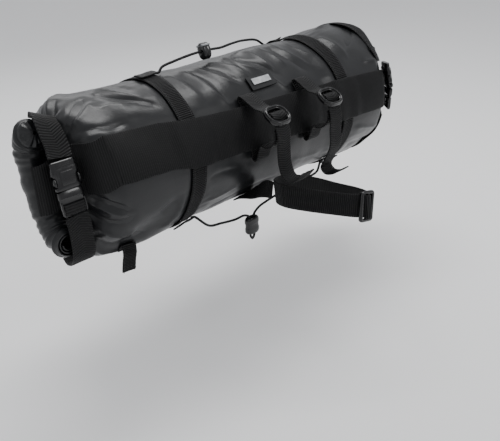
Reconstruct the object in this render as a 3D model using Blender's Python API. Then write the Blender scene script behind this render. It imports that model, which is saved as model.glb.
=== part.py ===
"""Handlebar bag: a roll-closed fabric tube that hangs in front of a bicycle's handlebar.

Frame: metres, +Z up, +Y forward, +X to the rider's right. The origin is on the handlebar's axis,
midway between the bag's two band straps, because the bar is what holds the bag up.

Angles round the bag are in degrees: 0 faces forward, 90 up, 180 towards the rider, 270 down.
"""

import math

import bmesh
import bpy
import numpy as np
from mathutils import Vector

# Main tube
BAG_RADIUS = 0.084
BAG_AXIS_Y = 0.1005
BAG_AXIS_Z = -0.0235
WALL = 0.0015
END_WALL = 0.0010
AROUND = 40

# What the straps go round
HANDLEBAR_RADIUS = 0.0159
HEAD_TUBE_RADIUS = 0.021
HEAD_TUBE_Y = -0.068
HEAD_TUBE_X = 0.015

# Webbing and cord
WEBBING = 0.0016
GAP = 0.0004
LIFT = WEBBING / 2 + 0.0007
BAND_WIDTH = 0.020
BAR_STRAP_WIDTH = 0.020
SPINE_WIDTH = 0.050
CLOSURE_WIDTH = 0.025
HEAD_STRAP_WIDTH = 0.027
ANCHOR_WIDTH = 0.020
TAG_WIDTH = 0.017
CORD_DIAMETER = 0.003

# Places along the bag
LEFT_BAND_X = -0.1255
LEFT_BAND_LEAN = 0.0055
RIGHT_BAND_X = 0.119
BAR_STRAP_X = {"left": -0.038, "right": 0.048}

# One row for each end: where the flattened mouth lies, its C-shaped line seen along X, how far the
# line runs down and up from its middle in degrees, how far its top leans forward, and its roll
MOUTH_COLUMNS = ("x", "y", "z", "depth", "half_height", "down", "up", "lean", "roll_radius")
MOUTHS = {
    "left": (-0.2506, 0.0580, -0.0085, 0.0270, 0.0515, 92.0, 74.0, 0.0110, 0.0172),
    "right": (0.2340, 0.0880, -0.0240, 0.0240, 0.0440, 96.0, 96.0, 0.0000, 0.0135),
}
MOUTH_SQUARENESS = 0.75
MOUTH_HALF_GAP = 0.0055
OUTER_POWER = 0.3
INNER_POWER = 1.0
INNER_SHORT = 12.0
ROLL_TURNS = 2.5
ROLL_STATIONS = 9
ROLL_SHEET = 0.0024
ROLL_PITCH = 0.0034

# One row for each section: x in metres, how far the tube has gone over to its flat mouth (gather),
# and the tube's radius to the front, top, rider's side and bottom as shares of BAG_RADIUS
SECTION_COLUMNS = ("x", "gather", "front", "top", "rider", "bottom")
SECTIONS = (
    (-0.2506, 1.00, 1.00, 1.00, 1.00, 1.00),
    (-0.2475, 0.80, 0.98, 0.80, 0.60, 1.02),
    (-0.2425, 0.50, 1.00, 0.86, 0.52, 1.05),
    (-0.2350, 0.24, 1.00, 0.96, 0.78, 1.06),
    (-0.2260, 0.09, 1.01, 1.00, 0.93, 1.04),
    (-0.2130, 0.02, 1.01, 1.00, 0.99, 1.02),
    (-0.1980, 0.00, 1.01, 0.99, 1.00, 1.01),
    (-0.1780, 0.00, 1.02, 0.98, 1.01, 1.01),
    (-0.1560, 0.00, 1.01, 0.98, 1.00, 1.00),
    (-0.1380, 0.00, 0.99, 0.98, 0.99, 0.99),
    (-0.1255, 0.00, 0.97, 0.97, 0.98, 0.97),
    (-0.1130, 0.00, 0.98, 0.98, 0.98, 0.98),
    (-0.0820, 0.00, 1.02, 0.98, 0.98, 1.01),
    (-0.0490, 0.00, 1.02, 0.96, 0.95, 1.01),
    (-0.0270, 0.00, 1.02, 0.96, 0.95, 1.01),
    (0.0050, 0.00, 1.03, 0.98, 0.96, 1.02),
    (0.0380, 0.00, 1.02, 1.00, 0.95, 1.01),
    (0.0590, 0.00, 1.02, 1.00, 0.95, 1.01),
    (0.0840, 0.00, 1.01, 1.00, 0.98, 1.00),
    (0.1065, 0.00, 0.99, 0.99, 0.99, 0.98),
    (0.1190, 0.00, 0.97, 0.98, 0.98, 0.97),
    (0.1315, 0.00, 0.99, 1.00, 0.99, 0.99),
    (0.1600, 0.00, 1.02, 1.04, 1.00, 1.01),
    (0.1900, 0.00, 1.02, 1.03, 0.98, 1.01),
    (0.2040, 0.01, 1.01, 1.03, 0.88, 1.01),
    (0.2140, 0.06, 1.01, 1.04, 0.78, 1.02),
    (0.2215, 0.20, 1.02, 1.04, 0.70, 1.04),
    (0.2265, 0.45, 1.00, 1.03, 0.66, 1.04),
    (0.2305, 0.75, 1.00, 1.00, 0.80, 1.00),
    (0.2340, 1.00, 1.00, 1.00, 1.00, 1.00),
)

# One row for each broad fold in the skin: both ends (x, angle), half width, depth (a ridge is negative)
FOLD_COLUMNS = ("x0", "angle0", "x1", "angle1", "half_width", "depth")
FOLDS = (
    (-0.235, 100.0, -0.165, 152.0, 0.017, 0.0045),
    (-0.232, 128.0, -0.150, 118.0, 0.016, -0.0025),
    (-0.228, 232.0, -0.158, 205.0, 0.018, 0.0050),
    (-0.205, 250.0, -0.150, 228.0, 0.016, -0.0025),
    (-0.160, 172.0, -0.142, 130.0, 0.013, 0.0020),
    (-0.108, 215.0, -0.050, 232.0, 0.015, 0.0030),
    (-0.105, 120.0, -0.050, 98.0, 0.015, 0.0025),
    (-0.030, 140.0, 0.045, 122.0, 0.015, 0.0025),
    (0.060, 148.0, 0.105, 110.0, 0.015, 0.0030),
    (0.135, 152.0, 0.205, 120.0, 0.017, 0.0035),
    (0.140, 215.0, 0.210, 236.0, 0.017, 0.0035),
    (-0.180, 40.0, -0.140, 70.0, 0.018, 0.0030),
    (-0.090, 20.0, 0.030, 36.0, 0.018, 0.0030),
    (0.060, 330.0, 0.100, 20.0, 0.018, 0.0030),
    (-0.200, 322.0, -0.130, 345.0, 0.018, 0.0030),
    (0.140, 30.0, 0.200, 50.0, 0.018, 0.0030),
)
PLEATS = 10
PLEAT_DEPTH = 0.0035

COLOURS = {
    "coated_fabric": ((0.030, 0.032, 0.035, 1.0), 0.48, 0.0),
    "webbing": ((0.012, 0.012, 0.013, 1.0), 0.85, 0.0),
    "moulded_plastic": ((0.010, 0.010, 0.011, 1.0), 0.30, 0.0),
    "cord_sheath": ((0.014, 0.014, 0.015, 1.0), 0.80, 0.0),
    "label_cloth": ((0.55, 0.56, 0.57, 1.0), 0.70, 0.0),
    "toggle_grey": ((0.30, 0.31, 0.32, 1.0), 0.45, 0.0),
}


def clear_scene():
    """Remove every object of the open scene."""
    for item in list(bpy.data.objects):
        bpy.data.objects.remove(item, do_unlink=True)


def material(slot):
    """Return the material of this slot, made at its first use."""
    found = bpy.data.materials.get(slot)
    if found:
        return found
    colour, roughness, metallic = COLOURS[slot]
    made = bpy.data.materials.new(slot)
    made.use_nodes = True
    shader = made.node_tree.nodes["Principled BSDF"]
    shader.inputs["Base Color"].default_value = colour
    shader.inputs["Roughness"].default_value = roughness
    shader.inputs["Metallic"].default_value = metallic
    return made


def mesh_object(name, vertices, faces, slot, sharp_angle=40.0):
    """Make one object with its own material from vertices and faces, facing outwards."""
    mesh = bpy.data.meshes.new(name)
    mesh.from_pydata([tuple(v) for v in vertices], [], faces)
    work = bmesh.new()
    work.from_mesh(mesh)
    bmesh.ops.recalc_face_normals(work, faces=work.faces)
    if work.calc_volume(signed=True) < 0:
        bmesh.ops.reverse_faces(work, faces=work.faces)
    work.to_mesh(mesh)
    work.free()
    mesh.materials.append(material(slot))
    mesh.shade_smooth()
    mesh.set_sharp_from_angle(angle=math.radians(sharp_angle))
    made = bpy.data.objects.new(name, mesh)
    bpy.context.collection.objects.link(made)
    return made


def rows_as_columns(columns, rows):
    """Turn table rows into one array for each named column."""
    return {name: np.array([row[i] for row in rows]) for i, name in enumerate(columns)}


def smooth_route(points, count):
    """Sample a smooth curve through hand-chosen points at even steps (centripetal Catmull-Rom)."""
    pts = np.array(points, float)
    pts = np.vstack([2 * pts[0] - pts[1], pts, 2 * pts[-1] - pts[-2]])
    fine = []
    for i in range(1, len(pts) - 2):
        p0, p1, p2, p3 = pts[i - 1:i + 3]
        knots = [0.0]
        for a, b in ((p0, p1), (p1, p2), (p2, p3)):
            knots.append(knots[-1] + max(np.linalg.norm(b - a), 1e-6) ** 0.5)
        t0, t1, t2, t3 = knots
        for t in np.linspace(t1, t2, 24, endpoint=False):
            a1 = (t1 - t) / (t1 - t0) * p0 + (t - t0) / (t1 - t0) * p1
            a2 = (t2 - t) / (t2 - t1) * p1 + (t - t1) / (t2 - t1) * p2
            a3 = (t3 - t) / (t3 - t2) * p2 + (t - t2) / (t3 - t2) * p3
            b1 = (t2 - t) / (t2 - t0) * a1 + (t - t0) / (t2 - t0) * a2
            b2 = (t3 - t) / (t3 - t1) * a2 + (t - t1) / (t3 - t1) * a3
            fine.append((t2 - t) / (t2 - t1) * b1 + (t - t1) / (t2 - t1) * b2)
    fine.append(pts[-2])
    fine = np.array(fine)
    run = np.concatenate([[0.0], np.cumsum(np.linalg.norm(np.diff(fine, axis=0), axis=1))])
    steps = np.linspace(0.0, run[-1], count)
    return np.stack([np.interp(steps, run, fine[:, k]) for k in range(3)], axis=1)


def thin_out(route, bend, longest):
    """Keep only the points that a strap's route needs: at this much turning or this far apart."""
    kept = [0]
    turned = 0.0
    for k in range(1, len(route) - 1):
        before, after = route[k] - route[k - 1], route[k + 1] - route[k]
        cosine = np.dot(before, after) / (np.linalg.norm(before) * np.linalg.norm(after))
        turned += math.degrees(math.acos(min(1.0, cosine)))
        if turned >= bend or np.linalg.norm(route[k] - route[kept[-1]]) >= longest:
            kept.append(k)
            turned = 0.0
    kept.append(len(route) - 1)
    return route[kept]


def mouth_line(mouth, degrees):
    """Give the C-shaped mouth line's point and outward normal (Y, Z) at this angle."""
    def place(angle):
        c, s = math.cos(math.radians(angle)), math.sin(math.radians(angle))
        level = math.copysign(abs(c) ** MOUTH_SQUARENESS, c)
        upright = math.copysign(abs(s) ** MOUTH_SQUARENESS, s)
        return np.array([mouth["y"] + mouth["depth"] * level + mouth["lean"] * upright,
                         mouth["z"] + mouth["half_height"] * upright])

    along = place(degrees + 2.0) - place(degrees - 2.0)
    along /= np.linalg.norm(along)
    return place(degrees), np.array([along[1], -along[0]])


def section_point(row, degrees, inset):
    """Point of one section at this angle; inset moves it inwards, for the inner wall."""
    c, s = math.cos(math.radians(degrees)), math.sin(math.radians(degrees))
    level = row["front"] if c > 0 else row["rider"]
    upright = row["top"] if s > 0 else row["bottom"]
    share = level * c * c + upright * s * s
    radius = BAG_RADIUS * share - inset
    for fold in FOLD_ROWS:
        radius -= fold_depth(fold, row["x"], degrees)
    gather = row["gather"]
    mouth = MOUTH_ROWS["left" if row["x"] < 0 else "right"]
    radius += PLEAT_DEPTH * 4 * gather * (1 - gather) * math.cos(math.radians(PLEATS * degrees))
    ring = np.array([BAG_AXIS_Y + radius * c, BAG_AXIS_Z + radius * s])
    if gather <= 0:
        return np.array([row["x"], ring[0], ring[1]])
    in_front = degrees <= 90 or degrees >= 270
    wrapped = degrees - 360 if degrees >= 270 else degrees
    share = (wrapped if in_front else 180 - wrapped) / 90
    short = INNER_SHORT if inset else 0.0
    line_angle = share * (mouth["up"] - short if share > 0 else mouth["down"] - short)
    point, normal = mouth_line(mouth, line_angle)
    power = INNER_POWER if inset else OUTER_POWER
    half = (MOUTH_HALF_GAP - inset) * abs(c) ** power
    flat = point + normal * half * (1 if in_front else -1)
    mixed = (1 - gather) * ring + gather * flat
    return np.array([row["x"], mixed[0], mixed[1]])


def fold_depth(fold, x, degrees):
    """Depth of one broad fold at this place, fading towards its ends and sides."""
    radius = BAG_RADIUS
    a = np.array([fold["x0"], radius * math.radians(fold["angle0"])])
    b = np.array([fold["x1"], radius * math.radians(fold["angle1"])])
    turn = 2 * math.pi * radius
    around = radius * math.radians(degrees)
    best = None
    for shift in (-turn, 0.0, turn):
        p = np.array([x, around + shift])
        along = float(np.dot(p - a, b - a) / np.dot(b - a, b - a))
        held = min(1.0, max(0.0, along))
        far = float(np.linalg.norm(p - (a + held * (b - a))))
        if best is None or far < best[0]:
            best = (far, held)
    far, held = best
    fade = math.sin(math.pi * (0.15 + 0.7 * held))
    return fold["depth"] * fade * math.exp(-(far / fold["half_width"]) ** 2)


MOUTH_ROWS = {side: dict(zip(MOUTH_COLUMNS, row)) for side, row in MOUTHS.items()}
FOLD_ROWS = [dict(zip(FOLD_COLUMNS, row)) for row in FOLDS]
SECTION_ROWS = [dict(zip(SECTION_COLUMNS, row)) for row in SECTIONS]
ANGLES = [360.0 * k / AROUND for k in range(AROUND)]


class Skin:
    """The bag's outer surface as the grid of its section points, read between them."""

    def __init__(self):
        self.xs = np.array([row["x"] for row in SECTION_ROWS])
        self.outer = np.array([[section_point(r, a, 0.0) for a in ANGLES] for r in SECTION_ROWS])
        self.inner = np.array([[section_point(r, a, WALL) for a in ANGLES] for r in SECTION_ROWS])
        for row, ring in zip(SECTION_ROWS, self.inner):
            if 0.05 < row["gather"] < 1.0:
                ring[:, 0] -= math.copysign(END_WALL, row["x"])

    def point(self, x, degrees):
        """Point on the outer surface."""
        x = min(max(x, self.xs[0]), self.xs[-1])
        i = min(int(np.searchsorted(self.xs, x, side="right")) - 1, len(self.xs) - 2)
        u = (x - self.xs[i]) / (self.xs[i + 1] - self.xs[i])
        place = (degrees % 360.0) / 360.0 * AROUND
        j = int(place) % AROUND
        v = place - int(place)
        k = (j + 1) % AROUND
        low = (1 - v) * self.outer[i, j] + v * self.outer[i, k]
        high = (1 - v) * self.outer[i + 1, j] + v * self.outer[i + 1, k]
        return (1 - u) * low + u * high

    def normal(self, x, degrees):
        """Smoothed outward normal of the outer surface."""
        along = self.point(x + 0.008, degrees) - self.point(x - 0.008, degrees)
        around = self.point(x, degrees + 6.0) - self.point(x, degrees - 6.0)
        normal = np.cross(around, along)
        return normal / np.linalg.norm(normal)

    def lifted(self, x, degrees, lift):
        """Point above the outer surface."""
        return self.point(x, degrees) + lift * self.normal(x, degrees)


def rest_on_skin(skin, grid, lift):
    """Move a strap's points out to this height above the tube wherever they lie lower."""
    rested = []
    for row in grid:
        line = []
        for p in row:
            p = np.array(p, float)
            if skin.xs[2] <= p[0] <= skin.xs[-3]:
                reach = p[1:] - np.array([BAG_AXIS_Y, BAG_AXIS_Z])
                degrees = math.degrees(math.atan2(reach[1], reach[0]))
                raised = skin.lifted(p[0], degrees, lift)
                raised_reach = raised[1:] - np.array([BAG_AXIS_Y, BAG_AXIS_Z])
                if np.linalg.norm(reach) < np.linalg.norm(raised_reach):
                    p = np.array([p[0], raised[1], raised[2]])
            line.append(p)
        rested.append(line)
    return rested


def bridge_rings(faces, first, second, count, closed=True):
    """Add quads between two rings of vertices."""
    for k in range(count if closed else count - 1):
        n = (k + 1) % count
        faces.append((first + k, first + n, second + n, second + k))


def sheet_solid(name, grid, thickness, slot, closed=False, sharp_angle=40.0):
    """Closed solid of even thickness around a mid-surface grid[along][across]."""
    grid = np.array(grid, float)
    rows, cols = grid.shape[:2]
    if closed:
        ahead, behind = np.roll(grid, -1, axis=0), np.roll(grid, 1, axis=0)
    else:
        ahead = np.vstack([grid[1:], grid[-1:]])
        behind = np.vstack([grid[:1], grid[:-1]])
    along = ahead - behind
    across = np.gradient(grid, axis=1)
    normal = np.cross(along, across)
    normal /= np.linalg.norm(normal, axis=2, keepdims=True)
    outer = grid + normal * thickness / 2
    inner = (grid - normal * thickness / 2)[:, ::-1]
    rings = np.concatenate([outer, inner], axis=1)
    size = 2 * cols
    faces = []
    for i in range(rows if closed else rows - 1):
        bridge_rings(faces, i * size, ((i + 1) % rows) * size, size)
    if not closed:
        for i in (0, rows - 1):
            for k in range(cols - 1):
                far = size - 1 - k
                faces.append((i * size + k, i * size + k + 1, i * size + far - 1, i * size + far))
    return mesh_object(name, rings.reshape(-1, 3), faces, slot, sharp_angle)


def ribbon(name, route, side, width, slot, skin=None, thickness=WEBBING, across=3):
    """Flat strap along a route; side is the width's direction, one for all or one for each point."""
    route = np.array(route, float)
    sides = np.array(side, float)
    if sides.ndim == 1:
        sides = np.tile(sides, (len(route), 1))
    tangent = np.gradient(route, axis=0)
    tangent /= np.linalg.norm(tangent, axis=1, keepdims=True)
    sides = sides - tangent * np.sum(sides * tangent, axis=1, keepdims=True)
    sides /= np.linalg.norm(sides, axis=1, keepdims=True)
    shares = np.linspace(-0.5, 0.5, across)
    grid = route[:, None, :] + sides[:, None, :] * width * shares[None, :, None]
    if skin is not None:
        grid = rest_on_skin(skin, grid, LIFT)
    return sheet_solid(name, grid, thickness, slot)


def swept(name, rings, slot, sharp_angle=40.0):
    """Closed solid through rings of equal length, with flat ends."""
    rings = np.array(rings, float)
    count, size = rings.shape[:2]
    faces = []
    for i in range(count - 1):
        bridge_rings(faces, i * size, (i + 1) * size, size)
    faces.append(tuple(range(size)))
    faces.append(tuple((count - 1) * size + k for k in range(size)))
    return mesh_object(name, rings.reshape(-1, 3), faces, slot, sharp_angle)


def oval_ring(length, width, corner, segments=4):
    """Corner-rounded rectangle in its own plane as (along, across) points."""
    points = []
    corners = ((1, 1, 0), (-1, 1, 90), (-1, -1, 180), (1, -1, 270))
    for sx, sy, start in corners:
        for k in range(segments + 1):
            a = math.radians(start + 90.0 * k / segments)
            points.append((sx * (length / 2 - corner) + corner * math.cos(a),
                           sy * (width / 2 - corner) + corner * math.sin(a)))
    return points


def frame_solid(name, centre, along, across, size, slots, thickness, slot):
    """Slotted plastic plate: an oval outline with rectangular slots, given by place and length."""
    length, width, corner = size
    along, across = Vector(along).normalized(), Vector(across).normalized()
    up = along.cross(across).normalized()
    centre = Vector(centre)
    work = bmesh.new()

    def add_prism(outline, low, high):
        bottom = [work.verts.new(centre + along * a + across * b + up * low) for a, b in outline]
        top = [work.verts.new(centre + along * a + across * b + up * high) for a, b in outline]
        count = len(outline)
        work.faces.new(bottom[::-1])
        work.faces.new(top)
        for k in range(count):
            n = (k + 1) % count
            work.faces.new((bottom[k], bottom[n], top[n], top[k]))

    add_prism(oval_ring(length, width, corner), -thickness / 2, thickness / 2)
    mesh = bpy.data.meshes.new(name)
    work.to_mesh(mesh)
    work.free()
    mesh.materials.append(material(slot))
    plate = bpy.data.objects.new(name, mesh)
    bpy.context.collection.objects.link(plate)
    for number, (place, slot_length, slot_width) in enumerate(slots):
        work = bmesh.new()
        outline = [(place - slot_length / 2, -slot_width / 2), (place + slot_length / 2, -slot_width / 2),
                   (place + slot_length / 2, slot_width / 2), (place - slot_length / 2, slot_width / 2)]
        add_prism(outline, -thickness, thickness)
        cutter_mesh = bpy.data.meshes.new(f"{name}_slot_{number}")
        work.to_mesh(cutter_mesh)
        work.free()
        cutter = bpy.data.objects.new(f"{name}_slot_{number}", cutter_mesh)
        bpy.context.collection.objects.link(cutter)
        cutter.hide_render = True
        cutter.display_type = "WIRE"
        cut = plate.modifiers.new(f"slot_{number}", "BOOLEAN")
        cut.operation = "DIFFERENCE"
        cut.solver = "EXACT"
        cut.object = cutter
    return plate


def box_between(name, centre, along, across, size, slot, bevel=0.0, taper=1.0):
    """Box with rounded long edges, as rings swept along its length."""
    length, width, height = size
    along, across = Vector(along).normalized(), Vector(across).normalized()
    up = along.cross(across).normalized()
    centre = Vector(centre)
    outline = oval_ring(width, height, bevel, 2)
    rings = []
    for share, scale in ((-0.5, taper), (-0.36, 1.0), (0.36, 1.0), (0.5, taper)):
        rings.append([centre + along * length * share + across * a * scale + up * b * scale
                      for a, b in outline])
    return swept(name, rings, slot, 35.0)


def cord_object(name, route):
    """Round cord as a curve with closed ends."""
    curve = bpy.data.curves.new(name, "CURVE")
    curve.dimensions = "3D"
    curve.bevel_depth = CORD_DIAMETER / 2
    curve.bevel_resolution = 2
    curve.use_fill_caps = True
    spline = curve.splines.new("POLY")
    spline.points.add(len(route) - 1)
    for point, place in zip(spline.points, route):
        point.co = (*place, 1.0)
    curve.materials.append(material("cord_sheath"))
    made = bpy.data.objects.new(name, curve)
    bpy.context.collection.objects.link(made)
    return made


def build_body(skin):
    """Fabric tube: outer and inner wall, joined round both flat mouths."""
    count = len(skin.xs)
    vertices = np.concatenate([skin.outer.reshape(-1, 3), skin.inner.reshape(-1, 3)])
    faces = []
    base = count * AROUND
    for i in range(count - 1):
        bridge_rings(faces, i * AROUND, (i + 1) * AROUND, AROUND)
        bridge_rings(faces, base + (i + 1) * AROUND, base + i * AROUND, AROUND)
    bridge_rings(faces, base, 0, AROUND)
    last = (count - 1) * AROUND
    bridge_rings(faces, last, base + last, AROUND)
    return mesh_object("roll_body", vertices, faces, "coated_fabric", 75.0)


def build_roll(side):
    """Rolled-up mouth: a spiral of fabric swept along the C-shaped line, its ends cut square."""
    mouth = MOUTH_ROWS[side]
    outward = -1.0 if side == "left" else 1.0
    radius = mouth["roll_radius"]
    axis_x = mouth["x"] + outward * (radius + GAP)
    steps = int(12 * ROLL_TURNS) + 1
    outer, inner = [], []
    for k in range(steps):
        turn = math.radians(30.0 * k)
        r = radius - ROLL_SHEET / 2 - ROLL_PITCH * k / 12
        # The spiral starts at the neck and goes round by the front
        direction = np.array([-outward * math.cos(turn), math.sin(turn)])
        outer.append(direction * (r + ROLL_SHEET / 2))
        inner.append(direction * (r - ROLL_SHEET / 2))
    outline = outer + inner[::-1]
    rings = []
    for k in range(ROLL_STATIONS):
        share = k / (ROLL_STATIONS - 1)
        angle = -mouth["down"] + (mouth["down"] + mouth["up"]) * share
        point, normal = mouth_line(mouth, angle)
        rings.append([(axis_x + a, point[0] + b * normal[0], point[1] + b * normal[1])
                      for a, b in outline])
    return swept_spiral(f"end_roll_{side}", rings, steps)


def swept_spiral(name, rings, steps):
    """Closed solid through spiral rings; its ends are strips, because the outline isn't convex."""
    rings = np.array(rings, float)
    count, size = rings.shape[:2]
    faces = []
    for i in range(count - 1):
        bridge_rings(faces, i * size, (i + 1) * size, size)
    for i in (0, count - 1):
        for k in range(steps - 1):
            far = size - 1 - k
            faces.append((i * size + k, i * size + k + 1, i * size + far - 1, i * size + far))
    return mesh_object(name, rings.reshape(-1, 3), faces, "coated_fabric", 50.0)


def bump(x, places, half, blend):
    """0 away from every place, 1 over it, blended in between."""
    height = 0.0
    for place in places:
        far = abs(x - place) - half
        share = min(1.0, max(0.0, 1.0 - far / blend))
        height = max(height, share * share * (3 - 2 * share))
    return height


def band_x(side, degrees):
    """Where a band's middle lies along the bag at this angle."""
    if side == "right":
        return RIGHT_BAND_X
    return LEFT_BAND_X + LEFT_BAND_LEAN * math.sin(math.radians(degrees))


def build_band(skin, side):
    """Webbing band sewn right round the tube."""
    grid = []
    for degrees in ANGLES:
        middle = band_x(side, degrees)
        grid.append([skin.lifted(middle + share * BAND_WIDTH, degrees, LIFT + 0.0002)
                     for share in (-0.5, 0.5)])
    return sheet_solid(f"band_{side}", grid, WEBBING, "webbing", closed=True)


# The spine's middle angle and where it leaves the tube for the left roll
SPINE_COLUMNS = ("x", "degrees")
SPINE_LINE = ((-0.2220, 153.5), (-0.1830, 154.0), (-0.1550, 155.5), (-0.1280, 160.0),
              (-0.0530, 162.8), (0.0350, 164.6), (0.1200, 167.0), (0.1820, 169.5), (0.2200, 171.0))
SPINE_TAIL = ((-0.2810, 0.0665, -0.0085), (-0.2750, 0.0625, -0.0080), (-0.2680, 0.0610, -0.0065),
              (-0.2560, 0.0610, -0.0010), (-0.2430, 0.0565, 0.0040), (-0.2300, 0.0335, 0.0085))


def build_spine(skin):
    """Wide webbing along the rider's side, over the bands and bar straps and round the left roll."""
    table = rows_as_columns(SPINE_COLUMNS, SPINE_LINE)
    crossings = [band_x("left", 160.0), RIGHT_BAND_X, *BAR_STRAP_X.values()]
    over = WEBBING + 2 * GAP
    places = {float(x) for x in skin.xs if -0.2200 <= x <= 0.2190 and
              all(abs(x - middle) > 0.003 for middle in crossings)}
    for middle in crossings:
        places.update((middle - 0.023, middle - 0.012, middle + 0.012, middle + 0.023))
    places.update((-0.2170, 0.2190))
    half_angle = math.degrees(SPINE_WIDTH / 2 / BAG_RADIUS)
    grid = []
    for x in sorted(places):
        middle = float(np.interp(x, table["x"], table["degrees"]))
        lift = LIFT + GAP + over * bump(x, crossings, 0.013, 0.014)
        grid.append([skin.lifted(x, middle + share * half_angle, lift)
                     for share in (1.0, 0.5, 0.0, -0.5, -1.0)])
    first = np.array(grid[0])
    tail = smooth_route(list(SPINE_TAIL) + [first[2]], 16)[:-1]
    upright = first[-1] - first[0]
    upright /= np.linalg.norm(upright)
    lead = []
    for k, place in enumerate(tail):
        blend = k / len(tail)
        side = (1 - blend) * np.array([0.0, 0.0, 1.0]) + blend * upright
        side /= np.linalg.norm(side)
        lead.append([place + side * SPINE_WIDTH * share for share in (-0.5, -0.25, 0.0, 0.25, 0.5)])
    return sheet_solid("spine_webbing", lead + grid, WEBBING, "webbing")


def loop_round(radius, start, stop, count):
    """Points of an arc round the handlebar, as (Y, Z), from start to stop in degrees."""
    points = []
    for k in range(count):
        a = math.radians(start + (stop - start) * k / (count - 1))
        points.append((radius * math.cos(a), radius * math.sin(a)))
    return points


# Routes of the bar straps seen along X (Y, Z): the tail below the buckle, in metres
BAR_TAILS = {
    "left": ((-0.0208, 0.0000), (-0.0205, -0.0170), (-0.0215, -0.0320), (-0.0270, -0.0450),
             (-0.0360, -0.0485), (-0.0460, -0.0430), (-0.0545, -0.0335)),
    "right": ((-0.0208, 0.0000), (-0.0205, -0.0170), (-0.0205, -0.0360), (-0.0110, -0.0560),
              (-0.0070, -0.0660), (-0.0130, -0.0715), (-0.0230, -0.0695), (-0.0330, -0.0630)),
}
BUCKLE_ANGLE = 122.0
BUCKLE_RADIUS = HANDLEBAR_RADIUS + 0.0062


def build_bar_strap(skin, side):
    """Strap round the handlebar: behind the spine, up over the bar, through its buckle and down."""
    x = BAR_STRAP_X[side]
    close = HANDLEBAR_RADIUS + GAP + WEBBING / 2
    behind = []
    for degrees in (141.0, 148.0, 155.0, 162.0, 170.0, 178.0, 186.0):
        p = skin.lifted(x, degrees, LIFT)
        behind.append((p[1], p[2]))
    axis = math.radians(BUCKLE_ANGLE)
    out = np.array([math.cos(axis), math.sin(axis)])
    down = np.array([-math.sin(axis), math.cos(axis)])

    def at_buckle(along, up):
        p = out * (BUCKLE_RADIUS + up) + down * along
        return (p[0], p[1])

    # The webbing weaves under the rims and over the middle bar
    weave = [at_buckle(-0.0145, -0.0042), at_buckle(-0.0096, -0.0036), at_buckle(-0.0059, -0.0004),
             at_buckle(-0.0034, 0.0024), at_buckle(0.0, 0.0035), at_buckle(0.0034, 0.0024),
             at_buckle(0.0059, -0.0004), at_buckle(0.0096, -0.0036)]
    low_y, low_z = behind[-1]
    hairpin = [(low_y - 0.0010, low_z - 0.0034), (low_y - 0.0040, low_z - 0.0046),
               (low_y - 0.0068, low_z - 0.0020)]
    under = [behind[-1], *hairpin, *loop_round(close, 286.0, 178.0, 8),
             *loop_round(close + 0.0002, 170.0, 158.0, 2)]
    top_y, top_z = behind[0]
    crest = [(top_y + 0.0008, top_z + 0.0034), (top_y - 0.0016, top_z + 0.0056),
             (top_y - 0.0052, top_z + 0.0050)]
    yz = [*under[::-1][:-1], *behind[::-1], *crest, (0.0120, 0.0235)]
    loop = [(x, a, b) for a, b in yz] + [(x, a, b) for a, b in weave]
    tail = [(x, a, b) for a, b in BAR_TAILS[side]]
    route = thin_out(smooth_route(loop + tail, 260), 16.0, 0.012)
    return ribbon(f"bar_strap_{side}", route, (1.0, 0.0, 0.0), BAR_STRAP_WIDTH, "webbing", skin)


def build_bar_buckle(side):
    """Oval slide buckle on the bar strap, above and behind the bar."""
    axis = math.radians(BUCKLE_ANGLE)
    centre = (BAR_STRAP_X[side], BUCKLE_RADIUS * math.cos(axis), BUCKLE_RADIUS * math.sin(axis))
    along = (0.0, -math.sin(axis), math.cos(axis))
    return frame_solid(f"bar_buckle_{side}", centre, along, (1.0, 0.0, 0.0), (0.024, 0.0275, 0.007),
                       ((-0.0056, 0.0076, 0.0214), (0.0056, 0.0076, 0.0214)), 0.0032,
                       "moulded_plastic")


# Closure straps of the left end: hand-chosen centre points over the notch between tube and roll
CLOSURE_LEFT = {
    "upper": ((-0.2475, 0.0960, 0.0480), (-0.2505, 0.0880, 0.0535), (-0.2540, 0.0790, 0.0562),
              (-0.2560, 0.0700, 0.0525), (-0.2560, 0.0635, 0.0430), (-0.2555, 0.0585, 0.0330),
              (-0.2568, 0.0529, 0.0221)),
    "lower": ((-0.2450, 0.0860, -0.0985), (-0.2485, 0.0740, -0.0970), (-0.2520, 0.0620, -0.0925),
              (-0.2545, 0.0500, -0.0860), (-0.2560, 0.0412, -0.0750), (-0.2560, 0.0400, -0.0600),
              (-0.2562, 0.0395, -0.0440), (-0.2568, 0.0408, -0.0322)),
    "tilt": (1.0, 0.0, -0.60),
    "buckle": ((-0.2570, 0.0520, 0.0205), (-0.2570, 0.0410, -0.0315)),
}
# The right end's straps lie on the tube's slope: their lines along X and the angles they run between
CLOSURE_RIGHT_LINES = (0.1970, 0.2040, 0.2140, 0.2215)
CLOSURE_RIGHT_X = 0.2095
CLOSURE_RIGHT = {"upper": (45.0, 144.0), "lower": (288.0, 198.0), "buckle": (146.5, 194.5)}
SOCKET_SHARE = 0.52
SOCKET_SIZE = (0.0285, 0.0088)
PLUG_SIZE = (0.0270, 0.0076)


def build_buckle_half(name, start, stop, across, size, taper):
    """One half of a closure buckle between two points."""
    start, stop = np.array(start, float), np.array(stop, float)
    length = float(np.linalg.norm(stop - start))
    box_between(name, (start + stop) / 2, (stop - start) / length, across,
                (length, size[0], size[1]), "moulded_plastic", size[1] * 0.36, taper)


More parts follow.
